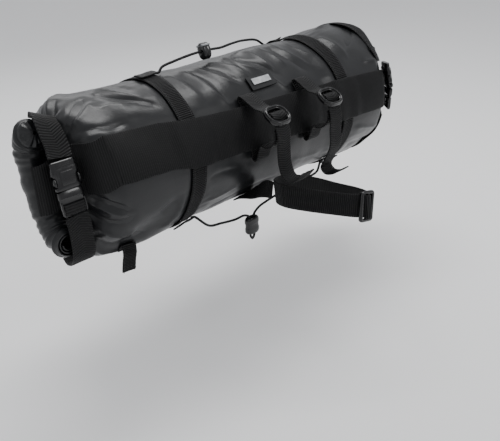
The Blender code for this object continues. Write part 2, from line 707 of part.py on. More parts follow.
def build_closure_left(skin):
    """Both closure straps of the left end and the two halves of the buckle that joins them."""
    for half in ("upper", "lower"):
        route = smooth_route(CLOSURE_LEFT[half], 18)
        tilts = [np.array([1.0, 0.0, 0.0]) * k / 17 + np.array(CLOSURE_LEFT["tilt"]) * (1 - k / 17)
                 if half == "upper" else np.array([1.0, 0.0, 0.0]) for k in range(18)]
        ribbon(f"closure_strap_{half}_left", route, tilts, CLOSURE_WIDTH, "webbing", skin)
    top, bottom = (np.array(p) for p in CLOSURE_LEFT["buckle"])
    middle = top + (bottom - top) * SOCKET_SHARE
    ahead = (bottom - top) / np.linalg.norm(bottom - top) * GAP
    across = (1.0, 0.0, 0.0)
    build_buckle_half("closure_buckle_socket_left", top + ahead, middle - ahead / 2, across,
                      SOCKET_SIZE, 0.9)
    build_buckle_half("closure_buckle_plug_left", middle + ahead / 2, bottom - ahead, across,
                      PLUG_SIZE, 0.85)


def build_closure_right(skin):
    """The right end's straps and buckle, which lie on the slope of the tube's end."""
    for half in ("upper", "lower"):
        first, last = CLOSURE_RIGHT[half]
        count = int(abs(last - first) / (360 / AROUND)) + 1
        grid = []
        for k in range(count):
            degrees = first + (last - first) * k / (count - 1)
            grid.append([skin.lifted(x, degrees, LIFT + 2 * GAP) for x in CLOSURE_RIGHT_LINES])
        sheet_solid(f"closure_strap_{half}_right", grid, WEBBING, "webbing")
    first, last = CLOSURE_RIGHT["buckle"]
    middle = first + (last - first) * SOCKET_SHARE
    height = 0.0100
    left = skin.point(CLOSURE_RIGHT_X - 0.012, middle)
    right = skin.point(CLOSURE_RIGHT_X + 0.012, middle)
    across = right - left
    start = skin.lifted(CLOSURE_RIGHT_X, first, height - 0.001)
    joint = skin.lifted(CLOSURE_RIGHT_X, middle, height)
    stop = skin.lifted(CLOSURE_RIGHT_X, last, height - 0.001)
    ahead = (joint - start) / np.linalg.norm(joint - start) * GAP
    build_buckle_half("closure_buckle_socket_right", start, joint - 1.5 * ahead, across,
                      SOCKET_SIZE, 0.9)
    build_buckle_half("closure_buckle_plug_right", joint + 1.5 * ahead, stop, across,
                      PLUG_SIZE, 0.85)


# Head tube strap: its loop seen from above (X, Y), with the height of its middle
HEAD_LOOP = ((-0.0480, -0.0300, -0.0655), (-0.0340, -0.0510, -0.0690), (-0.0180, -0.0720, -0.0720),
             (-0.0040, -0.0890, -0.0745), (0.0050, -0.0925, -0.0765), (0.0150, -0.0928, -0.0790),
             (0.0280, -0.0870, -0.0840), (0.0390, -0.0730, -0.0890), (0.0440, -0.0550, -0.0920),
             (0.0400, -0.0330, -0.0920), (0.0260, -0.0140, -0.0860), (0.0080, -0.0010, -0.0800),
             (-0.0120, 0.0020, -0.0740), (-0.0300, -0.0020, -0.0700), (-0.0440, -0.0120, -0.0670))
HEAD_TILT = 0.12


def build_head_strap():
    """Closed strap loop that goes round the head tube."""
    points = list(HEAD_LOOP)
    closed = points[-3:] + points + points[:3]
    route = smooth_route(closed, 240)
    first = int(np.argmin(np.linalg.norm(route[:60] - np.array(points[0]), axis=1)))
    last = 180 + int(np.argmin(np.linalg.norm(route[180:] - np.array(points[0]), axis=1)))
    loop = route[first:last]
    loop = loop[np.linspace(0, len(loop) - 1, 49).astype(int)[:-1]]
    up = np.array([0.0, HEAD_TILT, 1.0])
    up /= np.linalg.norm(up)
    grid = [[p - up * HEAD_STRAP_WIDTH / 2, p + up * HEAD_STRAP_WIDTH / 2] for p in loop]
    return sheet_solid("head_strap", grid, WEBBING, "webbing", closed=True)


def build_tri_glide():
    """Slide buckle at the rear of the head tube strap."""
    return frame_solid("tri_glide", (0.0100, -0.0957, -0.0780), (1.0, -0.03, -0.22),
                       (-0.22, -HEAD_TILT, -1.0), (0.0200, 0.0330, 0.0035),
                       ((-0.0045, 0.0048, 0.0275), (0.0045, 0.0048, 0.0275)), 0.0030,
                       "moulded_plastic")


def build_anchor(skin):
    """Short webbing from the tube's underside to the head tube strap's front left corner."""
    start = skin.lifted(-0.0300, 236.0, LIFT)
    further = skin.lifted(-0.0300, 246.0, LIFT)
    route = smooth_route([further, start, (-0.0335, 0.0310, -0.0830), (-0.0380, 0.0160, -0.0740),
                          (-0.0410, 0.0040, -0.0690), (-0.0414, -0.0044, -0.0684)], 14)
    sides = []
    for k in range(14):
        blend = k / 13
        sides.append(((1 - blend) * 0.95 + 0.25 * blend, 0.10, (1 - blend) * 0.05 + 0.95 * blend))
    return ribbon("head_strap_anchor", route, sides, ANCHOR_WIDTH, "webbing", skin)


# Cords: the tabs that they are sewn to, by side and angle, and the points between, chosen by hand
CORD_TABS = {
    "top_left": ("left", 90.0), "top_right": ("right", 58.0),
    "bottom_left": ("left", 233.0), "bottom_right": ("right", 233.0),
}
TAB_REACH = 0.0115
TAB_WIDTH = 0.0130
TOP_CORD = ((-0.0980, 0.1020, 0.0660), (-0.0790, 0.1030, 0.0690), (-0.0580, 0.1040, 0.0710),
            (-0.0450, 0.1052, 0.0714), (-0.0330, 0.1065, 0.0710), (-0.0210, 0.1078, 0.0706),
            (-0.0050, 0.1110, 0.0690), (0.0200, 0.1200, 0.0680), (0.0550, 0.1360, 0.0640),
            (0.0850, 0.1430, 0.0585))
BOTTOM_CORD = ((-0.1000, 0.0410, -0.1050), (-0.0820, 0.0405, -0.1090), (-0.0600, 0.0405, -0.1125),
               (-0.0460, 0.0400, -0.1125), (-0.0390, 0.0400, -0.1160), (-0.0377, 0.0400, -0.1210),
               (-0.0375, 0.0400, -0.1290), (-0.0375, 0.0400, -0.1420), (-0.0340, 0.0400, -0.1480),
               (-0.0305, 0.0400, -0.1420), (-0.0305, 0.0400, -0.1290), (-0.0303, 0.0400, -0.1210),
               (-0.0294, 0.0400, -0.1155), (-0.0200, 0.0410, -0.1105),
               (-0.0050, 0.0430, -0.1090), (0.0250, 0.0440, -0.1060), (0.0600, 0.0440, -0.1030),
               (0.0900, 0.0440, -0.1005))
LOCKS = {
    "top": dict(centre=(-0.0330, 0.1065, 0.0710), along=(1.0, 0.11, -0.035), across=(0.0, 0.3, 1.0),
                size=(0.0115, 0.0190, 0.0120), bores=(0.0,), bore_radius=0.0022),
    "bottom": dict(centre=(-0.0340, 0.0400, -0.1290), along=(0.0, 0.0, 1.0), across=(1.0, 0.0, 0.0),
                   size=(0.0210, 0.0200, 0.0110), bores=(-0.0035, 0.0035), bore_radius=0.0027),
}


def cord_end(skin, name):
    """Where a cord leaves its tab."""
    side, degrees = CORD_TABS[name]
    inside = 1.0 if side == "left" else -1.0
    return skin.lifted(band_x(side, degrees) + inside * (TAB_REACH + 0.0011), degrees, 0.0032)


def build_cord_tab(skin, name):
    """Short webbing tab across a band, where a cord is sewn in."""
    side, degrees = CORD_TABS[name]
    inside = 1.0 if side == "left" else -1.0
    middle = band_x(side, degrees)
    half_angle = math.degrees(TAB_WIDTH / 2 / BAG_RADIUS)
    grid = []
    for along in (-TAB_REACH, -0.5 * TAB_REACH, 0.0, 0.5 * TAB_REACH, TAB_REACH):
        grid.append([skin.lifted(middle + inside * along, degrees + share * half_angle,
                                 LIFT + WEBBING + 4 * GAP) for share in (-1.0, 0.0, 1.0)])
    return sheet_solid(f"cord_tab_{name}", grid, WEBBING, "webbing")


def build_cord(skin, name, points, count):
    """Cord from the left tab to the right one."""
    ends = [cord_end(skin, f"{name}_{side}") for side in ("left", "right")]
    route = [ends[0], ends[0] + (0.004, 0.0, 0.0), *points, ends[1] - (0.004, 0.0, 0.0), ends[1]]
    return cord_object(f"{name}_cord", smooth_route(route, count))


def build_cord_lock(name):
    """Flat oval cord lock, bored for the cord."""
    lock = LOCKS[name]
    made = box_between(f"cord_lock_{name}", lock["centre"], lock["along"], lock["across"],
                       lock["size"], "moulded_plastic", 0.0045, 0.85)
    along = Vector(lock["along"]).normalized()
    across = Vector(lock["across"]).normalized()
    for number, place in enumerate(lock["bores"]):
        work = bmesh.new()
        bmesh.ops.create_cone(work, cap_ends=True, segments=12, radius1=lock["bore_radius"],
                              radius2=lock["bore_radius"], depth=0.05)
        mesh = bpy.data.meshes.new(f"cord_lock_{name}_bore_{number}")
        work.to_mesh(mesh)
        work.free()
        cutter = bpy.data.objects.new(mesh.name, mesh)
        cutter.rotation_euler = along.to_track_quat("Z", "X").to_euler()
        cutter.location = Vector(lock["centre"]) + across * place
        cutter.hide_render = True
        cutter.display_type = "WIRE"
        bpy.context.collection.objects.link(cutter)
        cut = made.modifiers.new(f"bore_{number}", "BOOLEAN")
        cut.operation = "DIFFERENCE"
        cut.solver = "EXACT"
        cut.object = cutter
    return made


def build_hang_tag(skin):
    """Folded webbing loop that hangs from the tube's underside near the left end."""
    start = skin.lifted(-0.2020, 232.0, LIFT)
    deeper = skin.lifted(-0.2020, 240.0, LIFT)
    y, z = start[1] - 0.0015, start[2]
    route = [deeper, start, (-0.2030, y - 0.0010, z - 0.0080), (-0.2050, y, z - 0.0200),
             (-0.2060, y + 0.0010, z - 0.0300)]
    return ribbon("hang_tag", smooth_route(route, 12), (1.0, 0.0, 0.0), TAG_WIDTH, "webbing", skin)


def build_label(skin):
    """Plain flap with a pale woven label on it."""
    def patch(name, x0, x1, angle0, angle1, lift, thickness, slot):
        grid = []
        for k in range(5):
            x = x0 + (x1 - x0) * k / 4
            grid.append([skin.lifted(x, angle0 + (angle1 - angle0) * m / 2, lift) for m in range(3)])
        return sheet_solid(name, grid, thickness, slot)

    patch("label_flap", -0.0200, 0.0180, 124.0, 136.0, 0.0016, 0.0014, "coated_fabric")
    patch("woven_label", -0.0150, 0.0120, 126.6, 132.0, 0.0032, 0.0009, "label_cloth")


def main():
    """Build the bag."""
    clear_scene()
    skin = Skin()
    build_body(skin)
    for side in ("left", "right"):
        build_roll(side)
        build_band(skin, side)
        build_bar_strap(skin, side)
        build_bar_buckle(side)
    build_closure_left(skin)
    build_closure_right(skin)
    build_spine(skin)
    build_head_strap()
    build_tri_glide()
    build_anchor(skin)
    for name in CORD_TABS:
        build_cord_tab(skin, name)
    build_cord(skin, "top", TOP_CORD, 26)
    build_cord(skin, "bottom", BOTTOM_CORD, 50)
    for name in LOCKS:
        build_cord_lock(name)
    build_hang_tag(skin)
    build_label(skin)


main()
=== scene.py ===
"""Looks of a roll-top bicycle handlebar bag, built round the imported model.

Every class below is one sub-assembly of the bag. It holds its sizes as fields, builds its meshes in
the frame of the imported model, in metres, and dresses them.
"""

from __future__ import annotations

import logging
import math
from dataclasses import dataclass, field
from enum import Enum
from typing import Optional, Sequence

import bmesh
import bpy
import numpy as np
from mathutils import Matrix, Vector

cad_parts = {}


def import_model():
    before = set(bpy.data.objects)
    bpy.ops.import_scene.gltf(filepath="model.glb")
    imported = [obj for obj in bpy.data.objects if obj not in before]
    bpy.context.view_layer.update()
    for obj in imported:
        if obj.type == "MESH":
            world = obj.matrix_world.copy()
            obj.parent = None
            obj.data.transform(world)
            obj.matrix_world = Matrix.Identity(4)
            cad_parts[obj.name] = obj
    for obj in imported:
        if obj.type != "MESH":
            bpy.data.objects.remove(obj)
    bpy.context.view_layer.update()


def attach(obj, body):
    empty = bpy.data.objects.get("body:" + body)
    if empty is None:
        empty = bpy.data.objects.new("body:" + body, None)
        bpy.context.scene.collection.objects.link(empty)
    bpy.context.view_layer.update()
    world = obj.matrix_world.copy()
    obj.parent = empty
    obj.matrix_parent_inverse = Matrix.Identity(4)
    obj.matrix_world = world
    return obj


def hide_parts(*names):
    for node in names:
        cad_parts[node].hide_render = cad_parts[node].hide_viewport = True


LOG = logging.getLogger("handlebar_bag")
Points = Sequence[Sequence[float]]
Vec3 = tuple[float, float, float]
Socket = bpy.types.NodeSocket
Material = bpy.types.Material
Thing = bpy.types.Object

# Main tube
BAG_RADIUS = 0.084
AXIS_Y = 0.1005
AXIS_Z = -0.0235
WALL = 0.0015
END_WALL = 0.0010
AROUND = 40

# Webbing and cord
WEBBING = 0.0016
GAP = 0.0004
LIFT = WEBBING / 2 + 0.0007
BAND_WIDTH = 0.020
SPINE_WIDTH = 0.050
CLOSURE_WIDTH = 0.025
HEAD_STRAP_WIDTH = 0.027
BAR_STRAP_WIDTH = 0.020
ANCHOR_WIDTH = 0.020
TAG_WIDTH = 0.017
CORD_DIAMETER = 0.003
RIB_PITCH = 0.0026
HERRINGBONE_PITCH = 0.0026
BAND_ROWS = 1240
X_AXIS = np.array([1.0, 0.0, 0.0])

# Places along the bag
LEFT_BAND_X = -0.1255
LEFT_BAND_LEAN = 0.0055
RIGHT_BAND_X = 0.119
BAR_STRAP_X = {"left": -0.038, "right": 0.048}
HANDLEBAR_RADIUS = 0.0159

MOUTH_COLUMNS = ("x", "y", "z", "depth", "half_height", "down", "up", "lean", "roll_radius")
MOUTHS = {
    "left": (-0.2506, 0.0580, -0.0085, 0.0270, 0.0515, 92.0, 74.0, 0.0110, 0.0172),
    "right": (0.2340, 0.0880, -0.0240, 0.0240, 0.0440, 96.0, 96.0, 0.0000, 0.0135),
}
MOUTH_SQUARENESS = 0.75
MOUTH_HALF_GAP = 0.0055
OUTER_POWER = 0.3
INNER_POWER = 1.0
INNER_SHORT = 12.0
ROLL_TURNS = 2.5
ROLL_SHEET = 0.0024
ROLL_PITCH = 0.0034

# One row for each section: x, how far the tube has gone over to its flat mouth (gather), and its radius
# to the front, top, rider's side and bottom as shares of BAG_RADIUS
SECTION_COLUMNS = ("x", "gather", "front", "top", "rider", "bottom")
SECTIONS = (
    (-0.2506, 1.00, 1.00, 1.00, 1.00, 1.00),
    (-0.2475, 0.80, 0.98, 0.80, 0.60, 1.02),
    (-0.2425, 0.50, 1.00, 0.86, 0.52, 1.05),
    (-0.2350, 0.24, 1.00, 0.96, 0.78, 1.06),
    (-0.2260, 0.09, 1.01, 1.00, 0.93, 1.04),
    (-0.2130, 0.02, 1.01, 1.00, 0.99, 1.02),
    (-0.1980, 0.00, 1.01, 0.99, 1.00, 1.01),
    (-0.1780, 0.00, 1.02, 0.98, 1.01, 1.01),
    (-0.1560, 0.00, 1.01, 0.98, 1.00, 1.00),
    (-0.1380, 0.00, 0.99, 0.98, 0.99, 0.99),
    (-0.1255, 0.00, 0.97, 0.97, 0.98, 0.97),
    (-0.1130, 0.00, 0.98, 0.98, 0.98, 0.98),
    (-0.0820, 0.00, 1.02, 0.98, 0.98, 1.01),
    (-0.0490, 0.00, 1.02, 0.96, 0.95, 1.01),
    (-0.0270, 0.00, 1.02, 0.96, 0.95, 1.01),
    (0.0050, 0.00, 1.03, 0.98, 0.96, 1.02),
    (0.0380, 0.00, 1.02, 1.00, 0.95, 1.01),
    (0.0590, 0.00, 1.02, 1.00, 0.95, 1.01),
    (0.0840, 0.00, 1.01, 1.00, 0.98, 1.00),
    (0.1065, 0.00, 0.99, 0.99, 0.99, 0.98),
    (0.1190, 0.00, 0.97, 0.98, 0.98, 0.97),
    (0.1315, 0.00, 0.99, 1.00, 0.99, 0.99),
    (0.1600, 0.00, 1.02, 1.04, 1.00, 1.01),
    (0.1900, 0.00, 1.02, 1.03, 0.98, 1.01),
    (0.2040, 0.01, 1.01, 1.03, 0.88, 1.01),
    (0.2140, 0.06, 1.01, 1.04, 0.78, 1.02),
    (0.2215, 0.20, 1.02, 1.04, 0.70, 1.04),
    (0.2265, 0.45, 1.00, 1.03, 0.66, 1.04),
    (0.2305, 0.75, 1.00, 1.00, 0.80, 1.00),
    (0.2340, 1.00, 1.00, 1.00, 1.00, 1.00),
)

# One row for each broad fold: both ends (x, angle), half width, depth (a ridge is negative)
FOLD_COLUMNS = ("x0", "angle0", "x1", "angle1", "half_width", "depth")
FOLDS = (
    (-0.235, 100.0, -0.165, 152.0, 0.017, 0.0045),
    (-0.232, 128.0, -0.150, 118.0, 0.016, -0.0025),
    (-0.228, 232.0, -0.158, 205.0, 0.018, 0.0050),
    (-0.205, 250.0, -0.150, 228.0, 0.016, -0.0025),
    (-0.160, 172.0, -0.142, 130.0, 0.013, 0.0020),
    (-0.108, 215.0, -0.050, 232.0, 0.015, 0.0030),
    (-0.105, 120.0, -0.050, 98.0, 0.015, 0.0025),
    (-0.030, 140.0, 0.045, 122.0, 0.015, 0.0025),
    (0.060, 148.0, 0.105, 110.0, 0.015, 0.0030),
    (0.135, 152.0, 0.205, 120.0, 0.017, 0.0035),
    (0.140, 215.0, 0.210, 236.0, 0.017, 0.0035),
    (-0.180, 40.0, -0.140, 70.0, 0.018, 0.0030),
    (-0.090, 20.0, 0.030, 36.0, 0.018, 0.0030),
    (0.060, 330.0, 0.100, 20.0, 0.018, 0.0030),
    (-0.200, 322.0, -0.130, 345.0, 0.018, 0.0030),
    (0.140, 30.0, 0.200, 50.0, 0.018, 0.0030),
)
PLEATS = 10
PLEAT_DEPTH = 0.0035

# Small relief of the cloth
RIPPLE_HEIGHT = 0.00007
BAND_PUCKER = 0.00014
BAND_SWELL = 0.0007
BAND_PUCKER_REACH = 0.011
END_PUCKER = 0.00022
CREST = 0.0006
CREASE_WIDTHS = 0.82
CREASE_HEIGHTS = 1.35

# The spine's middle angle, and where it leaves the tube for the left roll
SPINE_LINE = ((-0.2220, 153.5), (-0.1830, 154.0), (-0.1550, 155.5), (-0.1280, 160.0), (-0.0530, 162.8),
              (0.0350, 164.6), (0.1200, 167.0), (0.1820, 169.5), (0.2200, 171.0))
SPINE_TAIL = ((-0.2810, 0.0665, -0.0085), (-0.2750, 0.0625, -0.0080), (-0.2680, 0.0610, -0.0065),
              (-0.2560, 0.0610, -0.0010), (-0.2430, 0.0565, 0.0040), (-0.2300, 0.0335, 0.0085))

# Cords: the tabs that they are sewn to, by side and angle, and the points between
CORD_TABS = {
    "top_left": ("left", 90.0), "top_right": ("right", 58.0),
    "bottom_left": ("left", 233.0), "bottom_right": ("right", 233.0),
}
TAB_REACH = 0.0115
TAB_WIDTH = 0.0130
CORD_POINTS = {
    "top": ((-0.0980, 0.1020, 0.0660), (-0.0790, 0.1030, 0.0690), (-0.0580, 0.1040, 0.0710),
            (-0.0450, 0.1052, 0.0714), (-0.0330, 0.1065, 0.0710), (-0.0210, 0.1078, 0.0706),
            (-0.0050, 0.1110, 0.0690), (0.0200, 0.1200, 0.0680), (0.0550, 0.1360, 0.0640),
            (0.0850, 0.1430, 0.0585)),
    "bottom": ((-0.1000, 0.0410, -0.1050), (-0.0820, 0.0405, -0.1090), (-0.0600, 0.0405, -0.1125),
               (-0.0460, 0.0400, -0.1125), (-0.0390, 0.0400, -0.1160), (-0.0377, 0.0400, -0.1210),
               (-0.0375, 0.0400, -0.1290), (-0.0375, 0.0400, -0.1420), (-0.0340, 0.0400, -0.1480),
               (-0.0305, 0.0400, -0.1420), (-0.0305, 0.0400, -0.1290), (-0.0303, 0.0400, -0.1210),
               (-0.0294, 0.0400, -0.1155), (-0.0200, 0.0410, -0.1105),
               (-0.0050, 0.0430, -0.1090), (0.0250, 0.0440, -0.1060), (0.0600, 0.0440, -0.1030),
               (0.0900, 0.0440, -0.1005)),
}

# Lofts of a side-release buckle. A row is a share of the half's length and metres added to it, then half
# width, half height, shift across and rise, all as shares of half the width or height. Prongs and rails
# leave the added metres out, bars give them first.
SOCKET_SHELL = ((0.0, 0.0, 0.82, 0.45), (0.0, 0.0006, 0.88, 0.62), (0.0, 0.0030, 0.92, 0.70),
                (0.0, 0.0060, 0.92, 0.72), (0.0, 0.0075, 0.97, 0.98), (0.45, 0.0, 1.0, 1.0),
                (0.55, 0.0, 0.80, 1.0), (0.84, 0.0, 0.80, 1.0), (0.90, 0.0, 0.96, 1.0),
                (1.0, -0.0008, 0.96, 0.94), (1.0, 0.0, 0.92, 0.86))
SOCKET_PAD = ((0.36, 0.0, 0.42, 0.05, 0.0, 1.0), (0.40, 0.0, 0.50, 0.10, 0.0, 1.0),
              (0.80, 0.0, 0.50, 0.10, 0.0, 1.0), (0.84, 0.0, 0.42, 0.05, 0.0, 1.0))
WINDOW_PRONG = ((0.56, 0.06, 0.40, 0.84), (0.64, 0.11, 0.62, 0.87), (0.76, 0.11, 0.62, 0.88),
                (0.83, 0.05, 0.50, 0.84))
PLUG_NARROWER = 0.947
PLUG_LOWER = 0.86
PLUG_BODY = ((0.0, 0.0, 0.80, 0.80), (0.0, 0.0012, 0.96, 0.98), (0.28, 0.0, 1.0, 1.0),
             (0.34, 0.0, 0.96, 0.70), (0.44, 0.0, 0.94, 0.55), (0.50, 0.0, 0.94, 0.55))
PLUG_RAIL = ((0.44, 0.08, 0.55, 0.88), (0.92, 0.08, 0.55, 0.88), (0.98, 0.06, 0.40, 0.84))
PLUG_BAR = ((-0.0013, 0.86, 0.34), (-0.0004, 0.88, 0.58), (0.0004, 0.88, 0.58), (0.0013, 0.86, 0.34))
PLUG_WEBBING = ((0.48, 0.0, 0.78, 0.16, 0.0, 0.10), (0.60, 0.0, 0.80, 0.22, 0.0, 0.62),
                (0.76, 0.0, 0.80, 0.22, 0.0, 0.66), (0.92, 0.0, 0.80, 0.22, 0.0, 0.60),
                (1.0, 0.0, 0.78, 0.16))


class Slot(str, Enum):
    """Names of material slots that pieces are handed over with."""

    FABRIC = "coated_fabric"
    WEBBING = "webbing"
    PLASTIC = "moulded_plastic"
    CORD = "cord_sheath"
    LABEL = "label_cloth"


class Weave(Enum):
    """How a strap's ribs run: straight across it, or as a herringbone."""

    STRAIGHT = 0.0
    HERRINGBONE = 0.34


# Node helpers and finishes


class NodeSketch:
    """Short way to place and link nodes in one tree."""

    def __init__(self, tree: bpy.types.NodeTree) -> None:
        """Keep the tree.

        Args:
            tree: The tree to add nodes to.
        """
        self.tree = tree

    def node(self, kind: str, **settings: object) -> bpy.types.Node:
        """Add a node and set its inputs, or its properties where no input has the name.

        Args:
            kind: The node's type.
            **settings: The values; underscores stand for spaces in input names.

        Returns:
            The new node.
        """
        made = self.tree.nodes.new(kind)
        for key, value in settings.items():
            label = key.replace("_", " ")
            if label in made.inputs:
                made.inputs[label].default_value = value
            else:
                setattr(made, key, value)
        return made

    def link(self, start: Socket, end: Socket) -> None:
        """Join two sockets."""
        self.tree.links.new(start, end)

    def maths(self, operation: str, *values: object) -> Socket:
        """Add a Math node on sockets or numbers.

        Args:
            operation: The Math node's operation.
            *values: A socket or a number for each input, in order.

        Returns:
            Its output socket.
        """
        node = self.node("ShaderNodeMath", operation=operation)
        for socket, value in zip(node.inputs, values):
            if isinstance(value, Socket):
                self.link(value, socket)
            else:
                socket.default_value = float(value)
        return node.outputs[0]


class ShaderSketch(NodeSketch):
    """The nodes of one material round its Principled surface."""

    def __init__(self, name: str, **inputs: object) -> None:
        """Start a material.

        Args:
            name: The material's name.
            **inputs: Plain values of the surface; underscores stand for spaces.
        """
        self.material = bpy.data.materials.new(name)
        self.material.use_nodes = True
        super().__init__(self.material.node_tree)
        self.surface = self.tree.nodes["Principled BSDF"]
        for key, value in inputs.items():
            self.surface.inputs[key.replace("_", " ")].default_value = value

    def texture(self, kind: str, **settings: float) -> Socket:
        """Add a texture on Object coordinates.

        Args:
            kind: The texture, such as Noise.
            **settings: Values of its inputs.

        Returns:
            Its distance if it is Voronoi, or else its factor.
        """
        made = self.node("ShaderNodeTex" + kind, **settings)
        coordinates = self.node("ShaderNodeTexCoord").outputs["Object"]
        self.link(coordinates, made.inputs["Vector"])
        return made.outputs["Distance" if kind == "Voronoi" else "Fac"]

    def ramp(self, source: Socket, stops: Points) -> Socket:
        """Map a value through grey stops.

        Args:
            source: The value to map.
            stops: Pairs of place and grey level.

        Returns:
            The mapped output socket.
        """
        ramp = self.node("ShaderNodeValToRGB")
        elements = ramp.color_ramp.elements
        while len(elements) < len(stops):
            elements.new(0.5)
        for element, (place, level) in zip(elements, stops):
            element.position = place
            element.color = (level, level, level, 1.0)
        self.link(source, ramp.inputs["Fac"])
        return ramp.outputs["Color"]

    def blend_colours(self, factor: Socket, low: Sequence[float],
                      high: Sequence[float]) -> Socket:
        """Mix two colours by a factor.

        Args:
            factor: The mixing factor.
            low: Colour at 0.
            high: Colour at 1.

        Returns:
            The mixed colour socket.
        """
        mix = self.tree.nodes.new("ShaderNodeMix")
        mix.data_type = "RGBA"
        mix.inputs["A"].default_value = (*low, 1.0)
        mix.inputs["B"].default_value = (*high, 1.0)
        self.link(factor, mix.inputs["Factor"])
        return mix.outputs["Result"]

    def paint(self, source: Socket, stops: Points, low: Vec3, high: Vec3) -> None:
        """Colour the surface between two colours by a value, mapped through grey stops."""
        colour = self.blend_colours(self.ramp(source, stops), low, high)
        self.link(colour, self.surface.inputs["Base Color"])

    def dull(self, source: Socket, stops: Points) -> None:
        """Set the surface's roughness by a value, mapped through grey stops."""
        self.link(self.ramp(source, stops), self.surface.inputs["Roughness"])

    def raise_by(self, *layers: tuple[Socket, float, float]) -> None:
        """Bump the surface by layers of height, distance and strength, the lowest first.

        Args:
            *layers: Height, distance and strength of each.
        """
        normal = None
        for layer in layers:
            normal = self.bump(*layer, under=normal)
        self.link(normal, self.surface.inputs["Normal"])

    def bump(self, height: Socket, distance: float, strength: float,
             under: Optional[Socket] = None) -> Socket:
        """Add a bump on top of another one.

        Args:
            height: The height to follow.
            distance: Height of a full step in metres.
            strength: Share of it that is used.
            under: The normal to start from.

        Returns:
            The bumped normal socket.
        """
        bump = self.node("ShaderNodeBump", Distance=distance, Strength=strength)
        self.link(height, bump.inputs["Height"])
        if under is not None:
            self.link(under, bump.inputs["Normal"])
        return bump.outputs["Normal"]


@dataclass(frozen=True)
class CoatedFabric:
    """Satin film-coated cloth with a fine grain, soft crinkles and rubbed high spots."""

    name: str = "satin_coated_fabric"
    deep: Vec3 = (0.0058, 0.0062, 0.0070)
    rubbed: Vec3 = (0.0120, 0.0126, 0.0136)
    gloss_low: float = 0.30
    gloss_high: float = 0.40

    def build(self) -> Material:
        """Return the finish as a material on Object coordinates.

        Returns:
            The material.
        """
        sketch = ShaderSketch(self.name, Specular_IOR_Level=0.40)
        drift = sketch.texture("Noise", Scale=14.0, Detail=4.0, Roughness=0.55)
        crinkle = sketch.texture("Noise", Scale=120.0, Detail=5.0, Roughness=0.60, Distortion=0.6)
        grain = sketch.texture("Noise", Scale=1500.0, Detail=2.0, Roughness=0.5)
        cells = sketch.texture("Voronoi", Scale=900.0)
        sketch.paint(drift, ((0.32, 0.0), (0.70, 1.0)), self.deep, self.rubbed)
        sketch.dull(crinkle, ((0.30, self.gloss_low), (0.72, self.gloss_high)))
        sketch.raise_by((crinkle, 0.0006, 0.22), (cells, 0.00012, 0.35), (grain, 0.00008, 0.5))
        return sketch.material


@dataclass(frozen=True)
class WovenWebbing:
    """Matt woven strap: yarns seen along and across on the strap's own map in metres."""

    name: str = "black_woven_webbing"
    # dark is the painted shade in the rib valleys and light the painted highlight on the rib crests, with
    # the random fibre tone between
    dark: Vec3 = (0.0012, 0.0012, 0.0014)
    light: Vec3 = (0.0120, 0.0121, 0.0126)
    yarn: float = 0.0009
    pick: float = 0.0012

    def build(self) -> Material:
        """Return the finish as a material on the strap map.

        Returns:
            The material.
        """
        sketch = ShaderSketch(self.name, Specular_IOR_Level=0.22)
        split = sketch.node("ShaderNodeSeparateXYZ")
        strap_map = sketch.node("ShaderNodeUVMap", uv_map="strap_map")
        sketch.link(strap_map.outputs["UV"], split.inputs["Vector"])
        waves = []
        for axis, pitch in (("X", self.pick), ("Y", self.yarn), ("X", RIB_PITCH)):
            turn = sketch.maths("MULTIPLY", split.outputs[axis], 2 * math.pi / pitch)
            waves.append(sketch.maths("SINE", turn))
        cross = sketch.maths("MULTIPLY", waves[0], waves[1])
        ridge = waves[2]
        fuzz = sketch.texture("Noise", Scale=900.0, Detail=3.0, Roughness=0.7)
        wear = sketch.texture("Noise", Scale=22.0, Detail=3.0)
        # Painted shade and highlight: the rib wave darkens the valleys between the ribs and lightens their
        # crests, on top of the random fibre tone of the fuzz noise
        mixed = sketch.maths("MULTIPLY_ADD", ridge, 0.30, fuzz)
        sketch.paint(mixed, ((0.25, 0.0), (0.85, 1.0)), self.dark, self.light)
        sketch.dull(wear, ((0.3, 0.48), (0.7, 0.62)))
        sketch.raise_by((ridge, 0.00030, 1.0), (cross, 0.00010, 0.50), (fuzz, 0.00015, 0.5))
        return sketch.material


@dataclass(frozen=True)
class MouldedPlastic:
    """Injection-moulded plastic with a soft moulding ripple and light handling marks."""

    name: str = "black_moulded_plastic"
    colour: Vec3 = (0.0030, 0.0030, 0.0034)
    scuffed: Vec3 = (0.0062, 0.0062, 0.0068)
    gloss: float = 0.16
    worn: float = 0.30

    def build(self) -> Material:
        """Return the finish as a material on Object coordinates.

        Returns:
            The material.
        """
        sketch = ShaderSketch(self.name)
        marks = sketch.texture("Noise", Scale=160.0, Detail=6.0, Roughness=0.65)
        ripple = sketch.texture("Noise", Scale=60.0, Detail=2.0)
        sketch.paint(marks, ((0.45, 0.0), (0.75, 1.0)), self.colour, self.scuffed)
        sketch.dull(marks, ((0.35, self.gloss), (0.80, self.worn)))
        sketch.raise_by((ripple, 0.0002, 0.10))
        return sketch.material


@dataclass(frozen=True)
class BraidedSheath:
    """Braided cord sheath: two families of strands that cross round the cord."""

    name: str = "black_braided_cord"
    dark: Vec3 = (0.0030, 0.0030, 0.0034)
    light: Vec3 = (0.0120, 0.0120, 0.0130)

    def build(self) -> Material:
        """Return the finish as a material on Object coordinates.

        Returns:
            The material.
        """
        sketch = ShaderSketch(self.name, Roughness=0.68, Specular_IOR_Level=0.35)
        strands = sketch.texture("Voronoi", Scale=1300.0)
        fuzz = sketch.texture("Noise", Scale=2200.0, Detail=2.0)
        sketch.paint(strands, ((0.0, 1.0), (0.6, 0.0)), self.dark, self.light)
        sketch.raise_by((strands, 0.0003, 0.6), (fuzz, 0.0001, 0.5))
        return sketch.material


